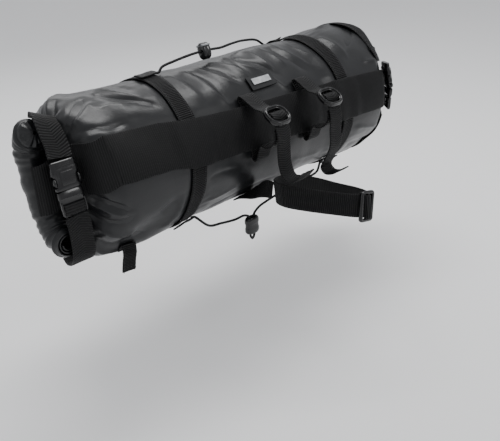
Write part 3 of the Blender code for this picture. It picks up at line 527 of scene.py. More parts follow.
@dataclass(frozen=True)
class LabelCloth:
    """Pale damask-woven label with fine threads and slight soiling."""

    name: str = "pale_label_cloth"
    clean: Vec3 = (0.52, 0.53, 0.54)
    soiled: Vec3 = (0.33, 0.34, 0.35)

    def build(self) -> Material:
        """Return the finish as a material on Object coordinates.

        Returns:
            The material.
        """
        sketch = ShaderSketch(self.name, Roughness=0.72)
        soil = sketch.texture("Noise", Scale=180.0, Detail=4.0)
        thread = sketch.texture("Wave", Scale=420.0, Distortion=0.6)
        sketch.paint(soil, ((0.35, 0.0), (0.70, 1.0)), self.clean, self.soiled)
        sketch.raise_by((thread, 0.00012, 0.5))
        return sketch.material


@dataclass(frozen=True)
class SewingThread:
    """Bonded sewing thread, a little shinier than the webbing."""

    name: str = "black_bonded_thread"
    dark: Vec3 = (0.004, 0.004, 0.0045)
    light: Vec3 = (0.014, 0.014, 0.015)

    def build(self) -> Material:
        """Return the finish as a material on Object coordinates.

        Returns:
            The material.
        """
        sketch = ShaderSketch(self.name, Roughness=0.48)
        twist = sketch.texture("Noise", Scale=1800.0, Detail=2.0)
        sketch.paint(twist, ((0.35, 0.0), (0.70, 1.0)), self.dark, self.light)
        sketch.raise_by((twist, 0.0001, 0.6))
        return sketch.material


class Wardrobe:
    """All finishes of the bag, made once."""

    def __init__(self) -> None:
        """Build every finish."""
        self.fabric = CoatedFabric().build()
        self.webbing = WovenWebbing().build()
        self.plastic = MouldedPlastic().build()
        self.grey_plastic = MouldedPlastic("grey_moulded_plastic", (0.30, 0.31, 0.32), (0.22, 0.22, 0.23),
                                           0.34, 0.50).build()
        self.cord = BraidedSheath().build()
        self.label = LabelCloth().build()
        self.thread = SewingThread().build()


# Mesh helpers


def grid_faces(rows: int, cols: int, wrap_rows: bool = False, wrap_cols: bool = False,
               first: int = 0) -> np.ndarray:
    """List the quads of a grid of vertices.

    Args:
        rows: Vertices along the first direction.
        cols: Vertices along the second direction.
        wrap_rows: Whether the last row joins the first.
        wrap_cols: Whether the last column joins the first.
        first: Index of the grid's first vertex.

    Returns:
        One row of four vertex indices for each quad.
    """
    index = np.arange(rows * cols).reshape(rows, cols) + first
    if wrap_rows:
        index = np.vstack([index, index[:1]])
    if wrap_cols:
        index = np.hstack([index, index[:, :1]])
    corners = [index[:-1, :-1], index[:-1, 1:], index[1:, 1:], index[1:, :-1]]
    return np.stack(corners, axis=-1).reshape(-1, 4)


def capped_faces(rows: int, cols: int) -> list[Sequence[int]]:
    """List the quads of a sleeve of closed sections and the caps at its ends.

    Args:
        rows: Sections along it.
        cols: Points round a section.

    Returns:
        Vertex indices of each face.
    """
    last = (rows - 1) * cols
    return [*grid_faces(rows, cols, wrap_cols=True), range(cols), range(last, last + cols)]


def mesh_piece(name: str, vertices: np.ndarray, faces: Sequence[Sequence[int]], finish: Material,
               sharp: float = 40.0, uv: Optional[np.ndarray] = None) -> Thing:
    """Make a smooth-shaded object whose faces point outwards.

    Args:
        name: The piece's name.
        vertices: Vertex places in metres.
        faces: Vertex indices of each face.
        finish: Its material.
        sharp: Angle in degrees above which an edge stays sharp.
        uv: One pair for each vertex, for a strap map.

    Returns:
        The new object at the origin.
    """
    mesh = bpy.data.meshes.new(name)
    mesh.from_pydata([tuple(v) for v in np.asarray(vertices, float).reshape(-1, 3)], [],
                     [tuple(int(i) for i in face) for face in faces])
    work = bmesh.new()
    work.from_mesh(mesh)
    bmesh.ops.recalc_face_normals(work, faces=work.faces)
    if work.calc_volume(signed=True) < 0:
        bmesh.ops.reverse_faces(work, faces=work.faces)
    work.to_mesh(mesh)
    work.free()
    if uv is not None:
        layer = mesh.uv_layers.new(name="strap_map")
        corners = np.zeros(len(mesh.loops), dtype=np.int32)
        mesh.loops.foreach_get("vertex_index", corners)
        layer.data.foreach_set("uv", np.asarray(uv, np.float32)[corners].ravel())
    mesh.materials.append(finish)
    mesh.shade_smooth()
    mesh.set_sharp_from_angle(angle=math.radians(sharp))
    made = bpy.data.objects.new(name, mesh)
    bpy.context.collection.objects.link(made)
    return made


def rounded_loft(start: np.ndarray, along: np.ndarray, across: np.ndarray, sections: Points,
                 corner: float = 3.2, segments: int = 28) -> tuple[np.ndarray, list[Sequence[int]]]:
    """Closed loft of rounded sections.

    Args:
        start: Where the sections' first coordinate is zero.
        along: Unit direction of the loft.
        across: Unit direction of the width.
        sections: Rows of run, half width, half height, shift across and shift up.
        corner: Power of the rounding; larger is squarer.
        segments: Points round a section.

    Returns:
        Vertices and faces.
    """
    up = unit(np.cross(along, across))
    turn = np.linspace(0, 2 * math.pi, segments, endpoint=False)
    c, s = np.cos(turn), np.sin(turn)
    level = np.sign(c) * np.abs(c) ** (2 / corner)
    upright = np.sign(s) * np.abs(s) ** (2 / corner)
    rings = []
    for run, half_width, half_height, shift, rise in sections:
        rings.append(start + along * run + across * (shift + level[:, None] * half_width)
                     + up * (rise + upright[:, None] * half_height))
    return np.concatenate(rings), capped_faces(len(rings), segments)


def joined(name: str, parts: Sequence[Thing]) -> Thing:
    """Join several mesh objects at the origin into one.

    Args:
        name: Name of the result.
        parts: The objects, which are used up.

    Returns:
        The joined object.
    """
    for item in bpy.context.selected_objects:
        item.select_set(False)
    for part in parts:
        part.select_set(True)
    bpy.context.view_layer.objects.active = parts[0]
    if len(parts) > 1:
        bpy.ops.object.join()
    parts[0].name = name
    parts[0].data.name = name
    return parts[0]


def line_curve(name: str, lines: Sequence[np.ndarray]) -> Thing:
    """Make a curve object of one open spline for each line.

    Args:
        name: Name of the object and its curve.
        lines: The lines' points.

    Returns:
        The new object at the origin.
    """
    curve = bpy.data.curves.new(name, "CURVE")
    curve.dimensions = "3D"
    for line in lines:
        spline = curve.splines.new("POLY")
        spline.points.add(len(line) - 1)
        for point, place in zip(spline.points, line):
            point.co = (*place, 1.0)
    made = bpy.data.objects.new(name, curve)
    bpy.context.collection.objects.link(made)
    return made


def baked(source: Thing, name: str) -> Thing:
    """Turn an object with modifiers into a plain mesh object and remove the source.

    Args:
        source: The object to evaluate.
        name: Name of the result.

    Returns:
        The plain mesh object.
    """
    graph = bpy.context.evaluated_depsgraph_get()
    mesh = bpy.data.meshes.new_from_object(source.evaluated_get(graph), preserve_all_data_layers=True,
                                           depsgraph=graph)
    bpy.data.objects.remove(source, do_unlink=True)
    mesh.name = name
    made = bpy.data.objects.new(name, mesh)
    bpy.context.collection.objects.link(made)
    return made


def smooth_path(points: Points, count: int) -> np.ndarray:
    """Sample a centripetal Catmull-Rom curve through given points at even steps.

    Args:
        points: The points to pass through.
        count: Samples to return.

    Returns:
        The samples, one row each.
    """
    pts = np.array(points, float)
    pts = np.vstack([2 * pts[0] - pts[1], pts, 2 * pts[-1] - pts[-2]])
    fine = []
    for i in range(1, len(pts) - 2):
        p0, p1, p2, p3 = pts[i - 1:i + 3]
        knots = [0.0]
        for a, b in ((p0, p1), (p1, p2), (p2, p3)):
            knots.append(knots[-1] + max(float(np.linalg.norm(b - a)), 1e-6) ** 0.5)
        t0, t1, t2, t3 = knots
        t = np.linspace(t1, t2, 24, endpoint=False)[:, None]
        a1 = (t1 - t) / (t1 - t0) * p0 + (t - t0) / (t1 - t0) * p1
        a2 = (t2 - t) / (t2 - t1) * p1 + (t - t1) / (t2 - t1) * p2
        a3 = (t3 - t) / (t3 - t2) * p2 + (t - t2) / (t3 - t2) * p3
        b1 = (t2 - t) / (t2 - t0) * a1 + (t - t0) / (t2 - t0) * a2
        b2 = (t3 - t) / (t3 - t1) * a2 + (t - t1) / (t3 - t1) * a3
        fine.append((t2 - t) / (t2 - t1) * b1 + (t - t1) / (t2 - t1) * b2)
    fine.append(pts[-2:-1])
    return even_steps(np.vstack(fine), count)


def running(line: np.ndarray) -> np.ndarray:
    """Distance of each point from the line's start, along it."""
    return np.concatenate([[0.0], np.cumsum(np.linalg.norm(np.diff(line, axis=0), axis=1))])


def even_steps(line: np.ndarray, count: int) -> np.ndarray:
    """Resample a polyline at even steps.

    Args:
        line: The polyline.
        count: Samples to return.

    Returns:
        The samples.
    """
    run = running(line)
    steps = np.linspace(0.0, run[-1], count)
    return np.stack([np.interp(steps, run, line[:, k]) for k in range(line.shape[1])], axis=1)


def unit(vectors: np.ndarray) -> np.ndarray:
    """Scale vectors to length one."""
    vectors = np.asarray(vectors, float)
    return vectors / np.maximum(np.linalg.norm(vectors, axis=-1, keepdims=True), 1e-12)


def square_to(along: np.ndarray, direction: np.ndarray) -> np.ndarray:
    """Turn a direction square to a unit one."""
    return unit(direction - along * float(np.dot(direction, along)))


def smoothstep(value: np.ndarray) -> np.ndarray:
    """Ease from 0 to 1."""
    held = np.clip(value, 0.0, 1.0)
    return held * held * (3 - 2 * held)


# The tube's skin


def mouth_line(mouth: dict[str, float], degrees: float) -> tuple[np.ndarray, np.ndarray]:
    """Point and outward normal (Y, Z) of the C-shaped mouth line at this angle.

    Args:
        mouth: One end's row of sizes.
        degrees: Angle along the line.

    Returns:
        The point and the normal.
    """
    def place(angle: float) -> np.ndarray:
        """Point at an angle.

        Args:
            angle: Angle in degrees.

        Returns:
            Y and Z.
        """
        c, s = math.cos(math.radians(angle)), math.sin(math.radians(angle))
        level = math.copysign(abs(c) ** MOUTH_SQUARENESS, c)
        upright = math.copysign(abs(s) ** MOUTH_SQUARENESS, s)
        return np.array([mouth["y"] + mouth["depth"] * level + mouth["lean"] * upright,
                         mouth["z"] + mouth["half_height"] * upright])

    along = unit(place(degrees + 2.0) - place(degrees - 2.0))
    return place(degrees), np.array([along[1], -along[0]])


@dataclass(frozen=True)
class Crease:
    """One crease in the skin.

    Points are (x, degrees). On the seen side some began as pixels traced by eye on the photo, which a
    separate calculation carried onto the tube through the solved camera. The others, and all heights and
    widths, were set one by one. Height is metres, a valley below zero. Width is the half width of the soft
    side, and steep the share of it on the other side.
    """

    points: tuple[tuple[float, float], ...]
    height: float
    width: float = 0.007
    steep: float = 0.45


CREASES = (
    # Left end: the arch over the shoulder, its lit ridge, and what fans from the roll's strap
    Crease(((-0.250, 123), (-0.240, 117), (-0.225, 108), (-0.211, 100), (-0.199, 94)), -0.0032, 0.009),
    Crease(((-0.199, 94), (-0.190, 95), (-0.184, 102), (-0.174, 111), (-0.157, 118), (-0.138, 130)),
           -0.0026, 0.008),
    Crease(((-0.190, 86), (-0.178, 90), (-0.171, 103), (-0.160, 113), (-0.147, 121)), 0.0024, 0.006),
    Crease(((-0.236, 120), (-0.220, 113), (-0.205, 106), (-0.196, 104)), 0.0020, 0.009),
    Crease(((-0.202, 112), (-0.184, 114), (-0.172, 119)), 0.0011, 0.005),
    Crease(((-0.240, 132), (-0.226, 134), (-0.207, 137), (-0.189, 142), (-0.168, 140)), 0.0018, 0.006),
    Crease(((-0.238, 126), (-0.222, 127), (-0.205, 130), (-0.180, 131)), -0.0014, 0.008),
    Crease(((-0.250, 108), (-0.242, 101), (-0.232, 93)), 0.0020, 0.005),
    Crease(((-0.246, 98), (-0.236, 91), (-0.222, 82)), -0.0018, 0.006),
    Crease(((-0.244, 86), (-0.228, 78), (-0.200, 72)), 0.0020, 0.007),
    Crease(((-0.240, 70), (-0.222, 64), (-0.190, 60), (-0.165, 64)), -0.0022, 0.008),
    Crease(((-0.170, 78), (-0.158, 92), (-0.150, 108)), -0.0012, 0.006),
    # Lower left: the lens-shaped fold and its neighbours
    Crease(((-0.244, 180), (-0.232, 183), (-0.218, 187), (-0.204, 192)), -0.0026, 0.006),
    Crease(((-0.240, 188), (-0.226, 191), (-0.212, 194)), 0.0026, 0.006),
    Crease(((-0.244, 199), (-0.230, 201), (-0.214, 198), (-0.202, 193)), -0.0024, 0.007),
    Crease(((-0.238, 210), (-0.222, 213), (-0.196, 214)), 0.0022, 0.010),
    Crease(((-0.240, 226), (-0.222, 226), (-0.200, 222), (-0.180, 224)), -0.0022, 0.008),
    Crease(((-0.236, 244), (-0.214, 240), (-0.186, 242)), 0.0020, 0.008),
    Crease(((-0.236, 262), (-0.210, 256), (-0.180, 250)), -0.0020, 0.008),
    Crease(((-0.168, 226), (-0.156, 218), (-0.147, 206), (-0.144, 192)), 0.0015, 0.007),
    Crease(((-0.176, 206), (-0.164, 200), (-0.150, 196)), -0.0013, 0.008),
    # Middle: long diagonals from the crown down to the spine
    Crease(((-0.106, 92), (-0.098, 102), (-0.093, 114), (-0.092, 128), (-0.088, 138)), 0.0013, 0.006),
    Crease(((-0.082, 86), (-0.075, 98), (-0.070, 112), (-0.070, 126), (-0.064, 139), (-0.054, 147)),
           0.0021, 0.006),
    Crease(((-0.074, 92), (-0.066, 104), (-0.062, 117), (-0.060, 131), (-0.050, 142)), -0.0016, 0.007),
    Crease(((-0.060, 86), (-0.052, 99), (-0.047, 112), (-0.038, 123), (-0.023, 131)), 0.0018, 0.006),
    Crease(((-0.046, 92), (-0.036, 105), (-0.032, 117), (-0.024, 127)), -0.0014, 0.006),
    Crease(((-0.036, 82), (-0.026, 95), (-0.018, 108), (-0.013, 120), (-0.010, 128)), 0.0015, 0.006),
    Crease(((-0.012, 78), (-0.009, 94), (-0.008, 108), (0.006, 119), (0.016, 130), (0.026, 141),
            (0.036, 149)), 0.0023, 0.006),
    Crease(((0.000, 86), (0.004, 102), (0.016, 115), (0.030, 128), (0.040, 140)), -0.0017, 0.007),
    Crease(((0.020, 80), (0.024, 96), (0.025, 110), (0.028, 124), (0.036, 136)), 0.0016, 0.006),
    Crease(((0.038, 82), (0.042, 97), (0.046, 112), (0.052, 126)), 0.0014, 0.006),
    Crease(((0.054, 92), (0.056, 106), (0.064, 121), (0.080, 136)), -0.0015, 0.007),
    Crease(((0.070, 78), (0.064, 96), (0.068, 110), (0.082, 124), (0.094, 134)), 0.0017, 0.006),
    Crease(((0.090, 84), (0.088, 100), (0.096, 114), (0.104, 124)), 0.0012, 0.005),
    # Right end: flat facets between pleats
    Crease(((0.132, 96), (0.140, 108), (0.146, 122), (0.148, 138)), 0.0012, 0.007),
    Crease(((0.216, 88), (0.198, 104), (0.176, 116), (0.150, 128)), -0.0020, 0.010),
    Crease(((0.218, 98), (0.206, 110), (0.200, 124), (0.199, 140)), 0.0024, 0.006),
    Crease(((0.216, 118), (0.205, 128), (0.198, 138)), -0.0018, 0.006),
    Crease(((0.210, 142), (0.190, 143), (0.168, 141)), 0.0016, 0.005),
    Crease(((0.222, 72), (0.205, 78), (0.180, 84), (0.150, 88)), 0.0022, 0.008),
    Crease(((0.222, 54), (0.200, 60), (0.168, 62)), -0.0020, 0.009),
    # Below the spine
    Crease(((-0.118, 192), (-0.100, 189), (-0.080, 190), (-0.058, 194)), -0.0013, 0.008),
    Crease(((-0.112, 214), (-0.090, 213), (-0.064, 208), (-0.040, 206)), 0.0016, 0.008),
    Crease(((-0.106, 232), (-0.070, 230), (-0.020, 222), (0.020, 222)), -0.0014, 0.009),
    Crease(((0.020, 205), (0.050, 210), (0.090, 214)), 0.0013, 0.008),
    Crease(((0.060, 236), (0.090, 240), (0.108, 244)), -0.0012, 0.007),
    Crease(((0.134, 196), (0.160, 200), (0.200, 208)), 0.0020, 0.008),
    Crease(((0.140, 222), (0.170, 224), (0.212, 232)), -0.0020, 0.008),
    Crease(((0.150, 252), (0.180, 250), (0.216, 254)), 0.0018, 0.008),
    # Far side, which the photo does not show, so these are guessed
    Crease(((-0.106, 66), (-0.070, 58), (-0.020, 60), (0.020, 68)), 0.0020, 0.009),
    Crease(((-0.108, 40), (-0.060, 30), (-0.010, 34)), -0.0018, 0.009),
    Crease(((-0.100, 12), (-0.050, 4), (0.010, 8), (0.060, 2)), 0.0018, 0.010),
    Crease(((0.030, 48), (0.070, 40), (0.106, 46)), 0.0018, 0.009),
    Crease(((-0.110, 344), (-0.040, 338), (0.020, 342)), -0.0016, 0.009),
    Crease(((0.000, 320), (0.050, 316), (0.108, 322)), 0.0016, 0.009),
    Crease(((-0.110, 308), (-0.060, 300), (-0.010, 304)), 0.0016, 0.009),
    Crease(((-0.230, 40), (-0.190, 34), (-0.145, 38)), 0.0022, 0.009),
    Crease(((-0.236, 16), (-0.200, 10), (-0.150, 14)), -0.0022, 0.009),
    Crease(((-0.238, 352), (-0.200, 346), (-0.150, 350)), 0.0022, 0.009),
    Crease(((-0.236, 326), (-0.196, 322), (-0.146, 328)), -0.0018, 0.009),
    Crease(((-0.236, 300), (-0.200, 296), (-0.150, 300)), 0.0020, 0.009),
    Crease(((0.134, 40), (0.170, 32), (0.216, 36)), 0.0020, 0.009),
    Crease(((0.132, 12), (0.170, 8), (0.218, 12)), -0.0020, 0.009),
    Crease(((0.134, 346), (0.175, 344), (0.218, 348)), 0.0020, 0.009),
    Crease(((0.134, 316), (0.175, 318), (0.218, 314)), -0.0018, 0.009),
    Crease(((0.136, 288), (0.170, 286), (0.214, 284)), 0.0018, 0.009),
)


class TubeSkin:
    """The bag's outer cloth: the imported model's sections read smoothly, with creases laid over them."""

    def __init__(self, seed: int = 7) -> None:
        """Read the tables and prepare slopes along the tube.

        Args:
            seed: Seed of the small ripples' phases.
        """
        rows = [dict(zip(SECTION_COLUMNS, row)) for row in SECTIONS]
        self.folds = [dict(zip(FOLD_COLUMNS, row)) for row in FOLDS]
        self.mouths = {side: dict(zip(MOUTH_COLUMNS, row)) for side, row in MOUTHS.items()}
        self.xs = np.array([row["x"] for row in rows])
        self.gathers = np.array([row["gather"] for row in rows])
        angles = [360.0 * k / AROUND for k in range(AROUND)]
        self.outer = np.array([[self.section(row, a, 0.0) for a in angles] for row in rows])
        self.inner = np.array([[self.section(row, a, WALL) for a in angles] for row in rows])
        for row, ring in zip(rows, self.inner):
            if 0.05 < row["gather"] < 1.0:
                ring[:, 0] -= math.copysign(END_WALL, row["x"])
        self.slopes = {id(ring): self.slopes_of(ring) for ring in (self.outer, self.inner)}
        rng = np.random.default_rng(seed)
        self.ripples = [(rng.uniform(18, 95), int(rng.integers(-9, 10)), rng.uniform(0, 2 * math.pi),
                         rng.uniform(0.4, 1.0)) for _ in range(26)]
        self.puckers = [(int(rng.integers(14, 60)), rng.uniform(0, 2 * math.pi), rng.uniform(0.3, 1.0))
                        for _ in range(18)]

    def section(self, row: dict[str, float], degrees: float, inset: float) -> np.ndarray:
        """Point of one section at an angle.

        Args:
            row: The section's row.
            degrees: Angle round the tube, 0 to the front and 90 up.
            inset: Distance moved inwards, for the inner wall.

        Returns:
            The point.
        """
        c, s = math.cos(math.radians(degrees)), math.sin(math.radians(degrees))
        level = row["front"] if c > 0 else row["rider"]
        upright = row["top"] if s > 0 else row["bottom"]
        radius = BAG_RADIUS * (level * c * c + upright * s * s) - inset
        radius -= sum(self.fold_depth(fold, row["x"], degrees) for fold in self.folds)
        gather = row["gather"]
        radius += PLEAT_DEPTH * 4 * gather * (1 - gather) * math.cos(math.radians(PLEATS * degrees))
        ring = np.array([AXIS_Y + radius * c, AXIS_Z + radius * s])
        if gather <= 0:
            return np.array([row["x"], *ring])
        mouth = self.mouths["left" if row["x"] < 0 else "right"]
        in_front = degrees <= 90 or degrees >= 270
        wrapped = degrees - 360 if degrees >= 270 else degrees
        share = (wrapped if in_front else 180 - wrapped) / 90
        short = INNER_SHORT if inset else 0.0
        line_angle = share * ((mouth["up"] if share > 0 else mouth["down"]) - short)
        point, normal = mouth_line(mouth, line_angle)
        half = (MOUTH_HALF_GAP - inset) * abs(c) ** (INNER_POWER if inset else OUTER_POWER)
        flat = point + normal * half * (1 if in_front else -1)
        return np.array([row["x"], *((1 - gather) * ring + gather * flat)])

    @staticmethod
    def fold_depth(fold: dict[str, float], x: float, degrees: float) -> float:
        """Depth of one broad fold at this place.

        Args:
            fold: The fold's row.
            x: Place along the bag.
            degrees: Angle round it.

        Returns:
            The depth in metres.
        """
        a = np.array([fold["x0"], BAG_RADIUS * math.radians(fold["angle0"])])
        b = np.array([fold["x1"], BAG_RADIUS * math.radians(fold["angle1"])])
        turn = 2 * math.pi * BAG_RADIUS
        best = (1e9, 0.0)
        for shift in (-turn, 0.0, turn):
            p = np.array([x, BAG_RADIUS * math.radians(degrees) + shift])
            held = min(1.0, max(0.0, float(np.dot(p - a, b - a) / np.dot(b - a, b - a))))
            best = min(best, (float(np.linalg.norm(p - (a + held * (b - a)))), held))
        fade = math.sin(math.pi * (0.15 + 0.7 * best[1]))
        return fold["depth"] * fade * math.exp(-(best[0] / fold["half_width"]) ** 2)

    def slopes_of(self, ring: np.ndarray) -> np.ndarray:
        """Overshoot-free slopes of a table of sections along X.

        Args:
            ring: The table, sections by angles.

        Returns:
            The slopes.
        """
        steps = np.diff(ring, axis=0) / np.diff(self.xs)[:, None, None]
        slopes = np.empty_like(ring)
        slopes[0], slopes[-1] = steps[0], steps[-1]
        product = steps[:-1] * steps[1:]
        total = steps[:-1] + steps[1:]
        safe = np.where(np.abs(total) < 1e-12, 1.0, total)
        slopes[1:-1] = np.where(product > 0, 2 * product / safe, 0.0)
        slopes[..., 0] = 1.0
        return slopes

    def at(self, x: np.ndarray, degrees: np.ndarray, inner: bool = False) -> np.ndarray:
        """Points of the plain surface, before creases.

        Args:
            x: Places along the bag.
            degrees: Angles, of the same shape.
            inner: Whether to read the inner wall.

        Returns:
            The points, with a last axis of three.
        """
        ring = self.inner if inner else self.outer
        slope = self.slopes[id(ring)]
        x, degrees = np.broadcast_arrays(np.asarray(x, float), np.asarray(degrees, float))
        x = np.clip(x, self.xs[0], self.xs[-1])
        i = np.clip(np.searchsorted(self.xs, x, side="right") - 1, 0, len(self.xs) - 2)
        width = self.xs[i + 1] - self.xs[i]
        u = (x - self.xs[i]) / width
        turn = np.mod(degrees, 360.0) / 360.0 * AROUND
        j = np.floor(turn).astype(int)
        v = turn - j
        weights = (-0.5 * v + v * v - 0.5 * v ** 3, 1 - 2.5 * v * v + 1.5 * v ** 3,
                   0.5 * v + 2 * v * v - 1.5 * v ** 3, -0.5 * v * v + 0.5 * v ** 3)
        total = np.zeros(x.shape + (3,))
        h00, h10 = 2 * u ** 3 - 3 * u * u + 1, u ** 3 - 2 * u * u + u
        h01, h11 = 3 * u * u - 2 * u ** 3, u ** 3 - u * u
        for k, weight in zip((-1, 0, 1, 2), weights):
            column = (j + k) % AROUND
            value = (h00[..., None] * ring[i, column]
                     + (h10 * width)[..., None] * slope[i, column]
                     + h01[..., None] * ring[i + 1, column]
                     + (h11 * width)[..., None] * slope[i + 1, column])
            total += weight[..., None] * value
        return total

    def normals(self, x: np.ndarray, degrees: np.ndarray, reach: float = 0.008,
                spread: float = 6.0) -> np.ndarray:
        """Outward normals of the plain surface.

        Args:
            x: Places along the bag.
            degrees: Angles.
            reach: Half the distance along X that is read.
            spread: Half the angle that is read.

        Returns:
            Unit vectors.
        """
        along = self.at(np.add(x, reach), degrees) - self.at(np.subtract(x, reach), degrees)
        around = self.at(x, np.add(degrees, spread)) - self.at(x, np.subtract(degrees, spread))
        return unit(np.cross(around, along))

    def lifted(self, x: np.ndarray, degrees: np.ndarray, lift: np.ndarray) -> np.ndarray:
        """Points above the plain surface, where webbing lies."""
        return self.at(x, degrees) + np.asarray(lift)[..., None] * self.normals(x, degrees)

    @staticmethod
    def covered(x: np.ndarray, degrees: np.ndarray) -> np.ndarray:
        """How much of the cloth shows: 0 under webbing, 1 a little way from it.

        Args:
            x: Places along the bag.
            degrees: Angles.

        Returns:
            The share, between 0 and 1.
        """
        lean = LEFT_BAND_LEAN * np.sin(np.radians(degrees))
        table = np.array(SPINE_LINE)
        spine = np.interp(x, table[:, 0], table[:, 1])
        off_spine = np.abs((degrees - spine + 180.0) % 360.0 - 180.0) * math.radians(1) * BAG_RADIUS
        beyond = np.where(x > 0.2200, x - 0.2200, 0.0) + np.where(x < -0.2300, -0.2300 - x, 0.0)
        gaps = [np.abs(x - LEFT_BAND_X - lean) - BAND_WIDTH / 2, np.abs(x - RIGHT_BAND_X) - BAND_WIDTH / 2,
                np.maximum(off_spine - SPINE_WIDTH / 2, 0.0) + beyond]
        shows = np.ones_like(x)
        for gap in gaps:
            shows = np.minimum(shows, smoothstep((gap - 0.0015) / 0.0085))
        return shows

    def relief(self, x: np.ndarray, degrees: np.ndarray) -> np.ndarray:
        """Height of creases, ripples and puckers above the plain surface.

        Args:
            x: Places along the bag.
            degrees: Angles.

        Returns:
            Heights in metres.
        """
        height = np.zeros_like(x)
        for crease in CREASES:
            height += self.crease_height(crease, x, degrees)
        around = np.radians(degrees)
        ripple = sum(size * np.cos(pace * x + turns * around + phase)
                     for pace, turns, phase, size in self.ripples)
        height += RIPPLE_HEIGHT * ripple
        pucker = sum(size * np.cos(turns * around + phase) for turns, phase, size in self.puckers)
        lean = LEFT_BAND_LEAN * np.sin(around)
        for place in (LEFT_BAND_X + lean, RIGHT_BAND_X):
            away = np.abs(x - place) - BAND_WIDTH / 2
            near = np.exp(-np.maximum(away, 0.0) / BAND_PUCKER_REACH)
            height += BAND_PUCKER * pucker * near + BAND_SWELL * near
        near_end = np.maximum(smoothstep((-0.232 - x) / 0.014), smoothstep((x - 0.216) / 0.012))
        height += END_PUCKER * pucker * near_end
        return height * self.covered(x, degrees)

    @staticmethod
    def crease_height(crease: Crease, x: np.ndarray, degrees: np.ndarray) -> np.ndarray:
        """Height that one crease adds.

        Args:
            crease: The crease.
            x: Places along the bag.
            degrees: Angles.

        Returns:
            Heights in metres.
        """
        line = np.array(crease.points, float)
        middle = line[:, 1].mean()
        shifted = (degrees - middle + 180.0) % 360.0 - 180.0 + middle
        place = np.stack([x, BAG_RADIUS * np.radians(shifted)], axis=-1)
        line = np.stack([line[:, 0], BAG_RADIUS * np.radians(line[:, 1])], axis=1)
        line = smooth_path(np.hstack([line, np.zeros((len(line), 1))]), 4 * len(line))[:, :2]
        best = np.full(x.shape, 1e9)
        side = np.zeros_like(x)
        run = np.zeros_like(x)
        lengths = np.linalg.norm(np.diff(line, axis=0), axis=1)
        starts = np.concatenate([[0.0], np.cumsum(lengths)])
        for k, (a, b) in enumerate(zip(line[:-1], line[1:])):
            step = b - a
            offset = place - a
            held = np.clip((offset @ step) / (step @ step), 0.0, 1.0)
            away = offset - held[..., None] * step
            far = np.linalg.norm(away, axis=-1)
            closer = far < best
            best = np.where(closer, far, best)
            side = np.where(closer, step[0] * away[..., 1] - step[1] * away[..., 0], side)
            run = np.where(closer, starts[k] + held * lengths[k], run)
        share = run / starts[-1]
        fade = smoothstep(share / 0.22) * smoothstep((1 - share) / 0.30)
        width = CREASE_WIDTHS * np.where(side > 0, crease.width, crease.width * crease.steep)
        profile = np.exp(-(np.sqrt(best ** 2 + CREST ** 2) - CREST) / width)
        return CREASE_HEIGHTS * crease.height * fade * profile

    def rest(self, points: np.ndarray, lift: float) -> np.ndarray:
        """Move strap points out to a height above the tube wherever they lie lower.

        Args:
            points: The points, with a last axis of three.
            lift: The height.

        Returns:
            The moved points.
        """
        points = np.array(points, float)
        reach = points[..., 1:] - np.array([AXIS_Y, AXIS_Z])
        degrees = np.degrees(np.arctan2(reach[..., 1], reach[..., 0]))
        raised = self.lifted(points[..., 0], degrees, np.full(degrees.shape, lift))
        raised_reach = raised[..., 1:] - np.array([AXIS_Y, AXIS_Z])
        low = np.linalg.norm(reach, axis=-1) < np.linalg.norm(raised_reach, axis=-1)
        low &= (points[..., 0] >= self.xs[2]) & (points[..., 0] <= self.xs[-3])
        points[..., 1:] = np.where(low[..., None], raised[..., 1:], points[..., 1:])
        return points


# Geometry Nodes


class NodeTree(NodeSketch):
    """A Geometry Nodes tree with named inputs, which ends in Realize Instances and Set Material."""

    def __init__(self, name: str, **sizes: float) -> None:
        """Start a tree with geometry in and out.

        Args:
            name: The tree's name.
            **sizes: Its number inputs with their defaults.
        """
        super().__init__(bpy.data.node_groups.new(name, "GeometryNodeTree"))
        face = self.tree.interface
        for way in ("INPUT", "OUTPUT"):
            face.new_socket("Geometry", in_out=way, socket_type="NodeSocketGeometry")
        self.sizes = sizes
        self.keys: dict[str, str] = {}
        for label, value in sizes.items():
            socket = face.new_socket(label, in_out="INPUT", socket_type="NodeSocketFloat")
            socket.default_value = value
            self.keys[label] = socket.identifier
        self.entry = self.node("NodeGroupInput")

    def finish(self, geometry: Socket, finish: Material) -> None:
        """End the tree: instances made real, and the material set.

        Args:
            geometry: What the tree has made.
            finish: The material.
        """
        real = self.node("GeometryNodeRealizeInstances")
        dressed = self.node("GeometryNodeSetMaterial", Material=finish)
        exit_node = self.node("NodeGroupOutput")
        self.link(geometry, real.inputs["Geometry"])
        self.link(real.outputs["Geometry"], dressed.inputs["Geometry"])
        self.link(dressed.outputs["Geometry"], exit_node.inputs[0])

    def put_on(self, target: Thing, **sizes: float) -> None:
        """Add the tree to an object as a modifier, its inputs set by identifier.

        Args:
            target: The object.
            **sizes: Values of the tree's inputs.
        """
        modifier = target.modifiers.new(self.tree.name, "NODES")
        modifier.node_group = self.tree
        for name, value in {**self.sizes, **sizes}.items():
            modifier[self.keys[name]] = value


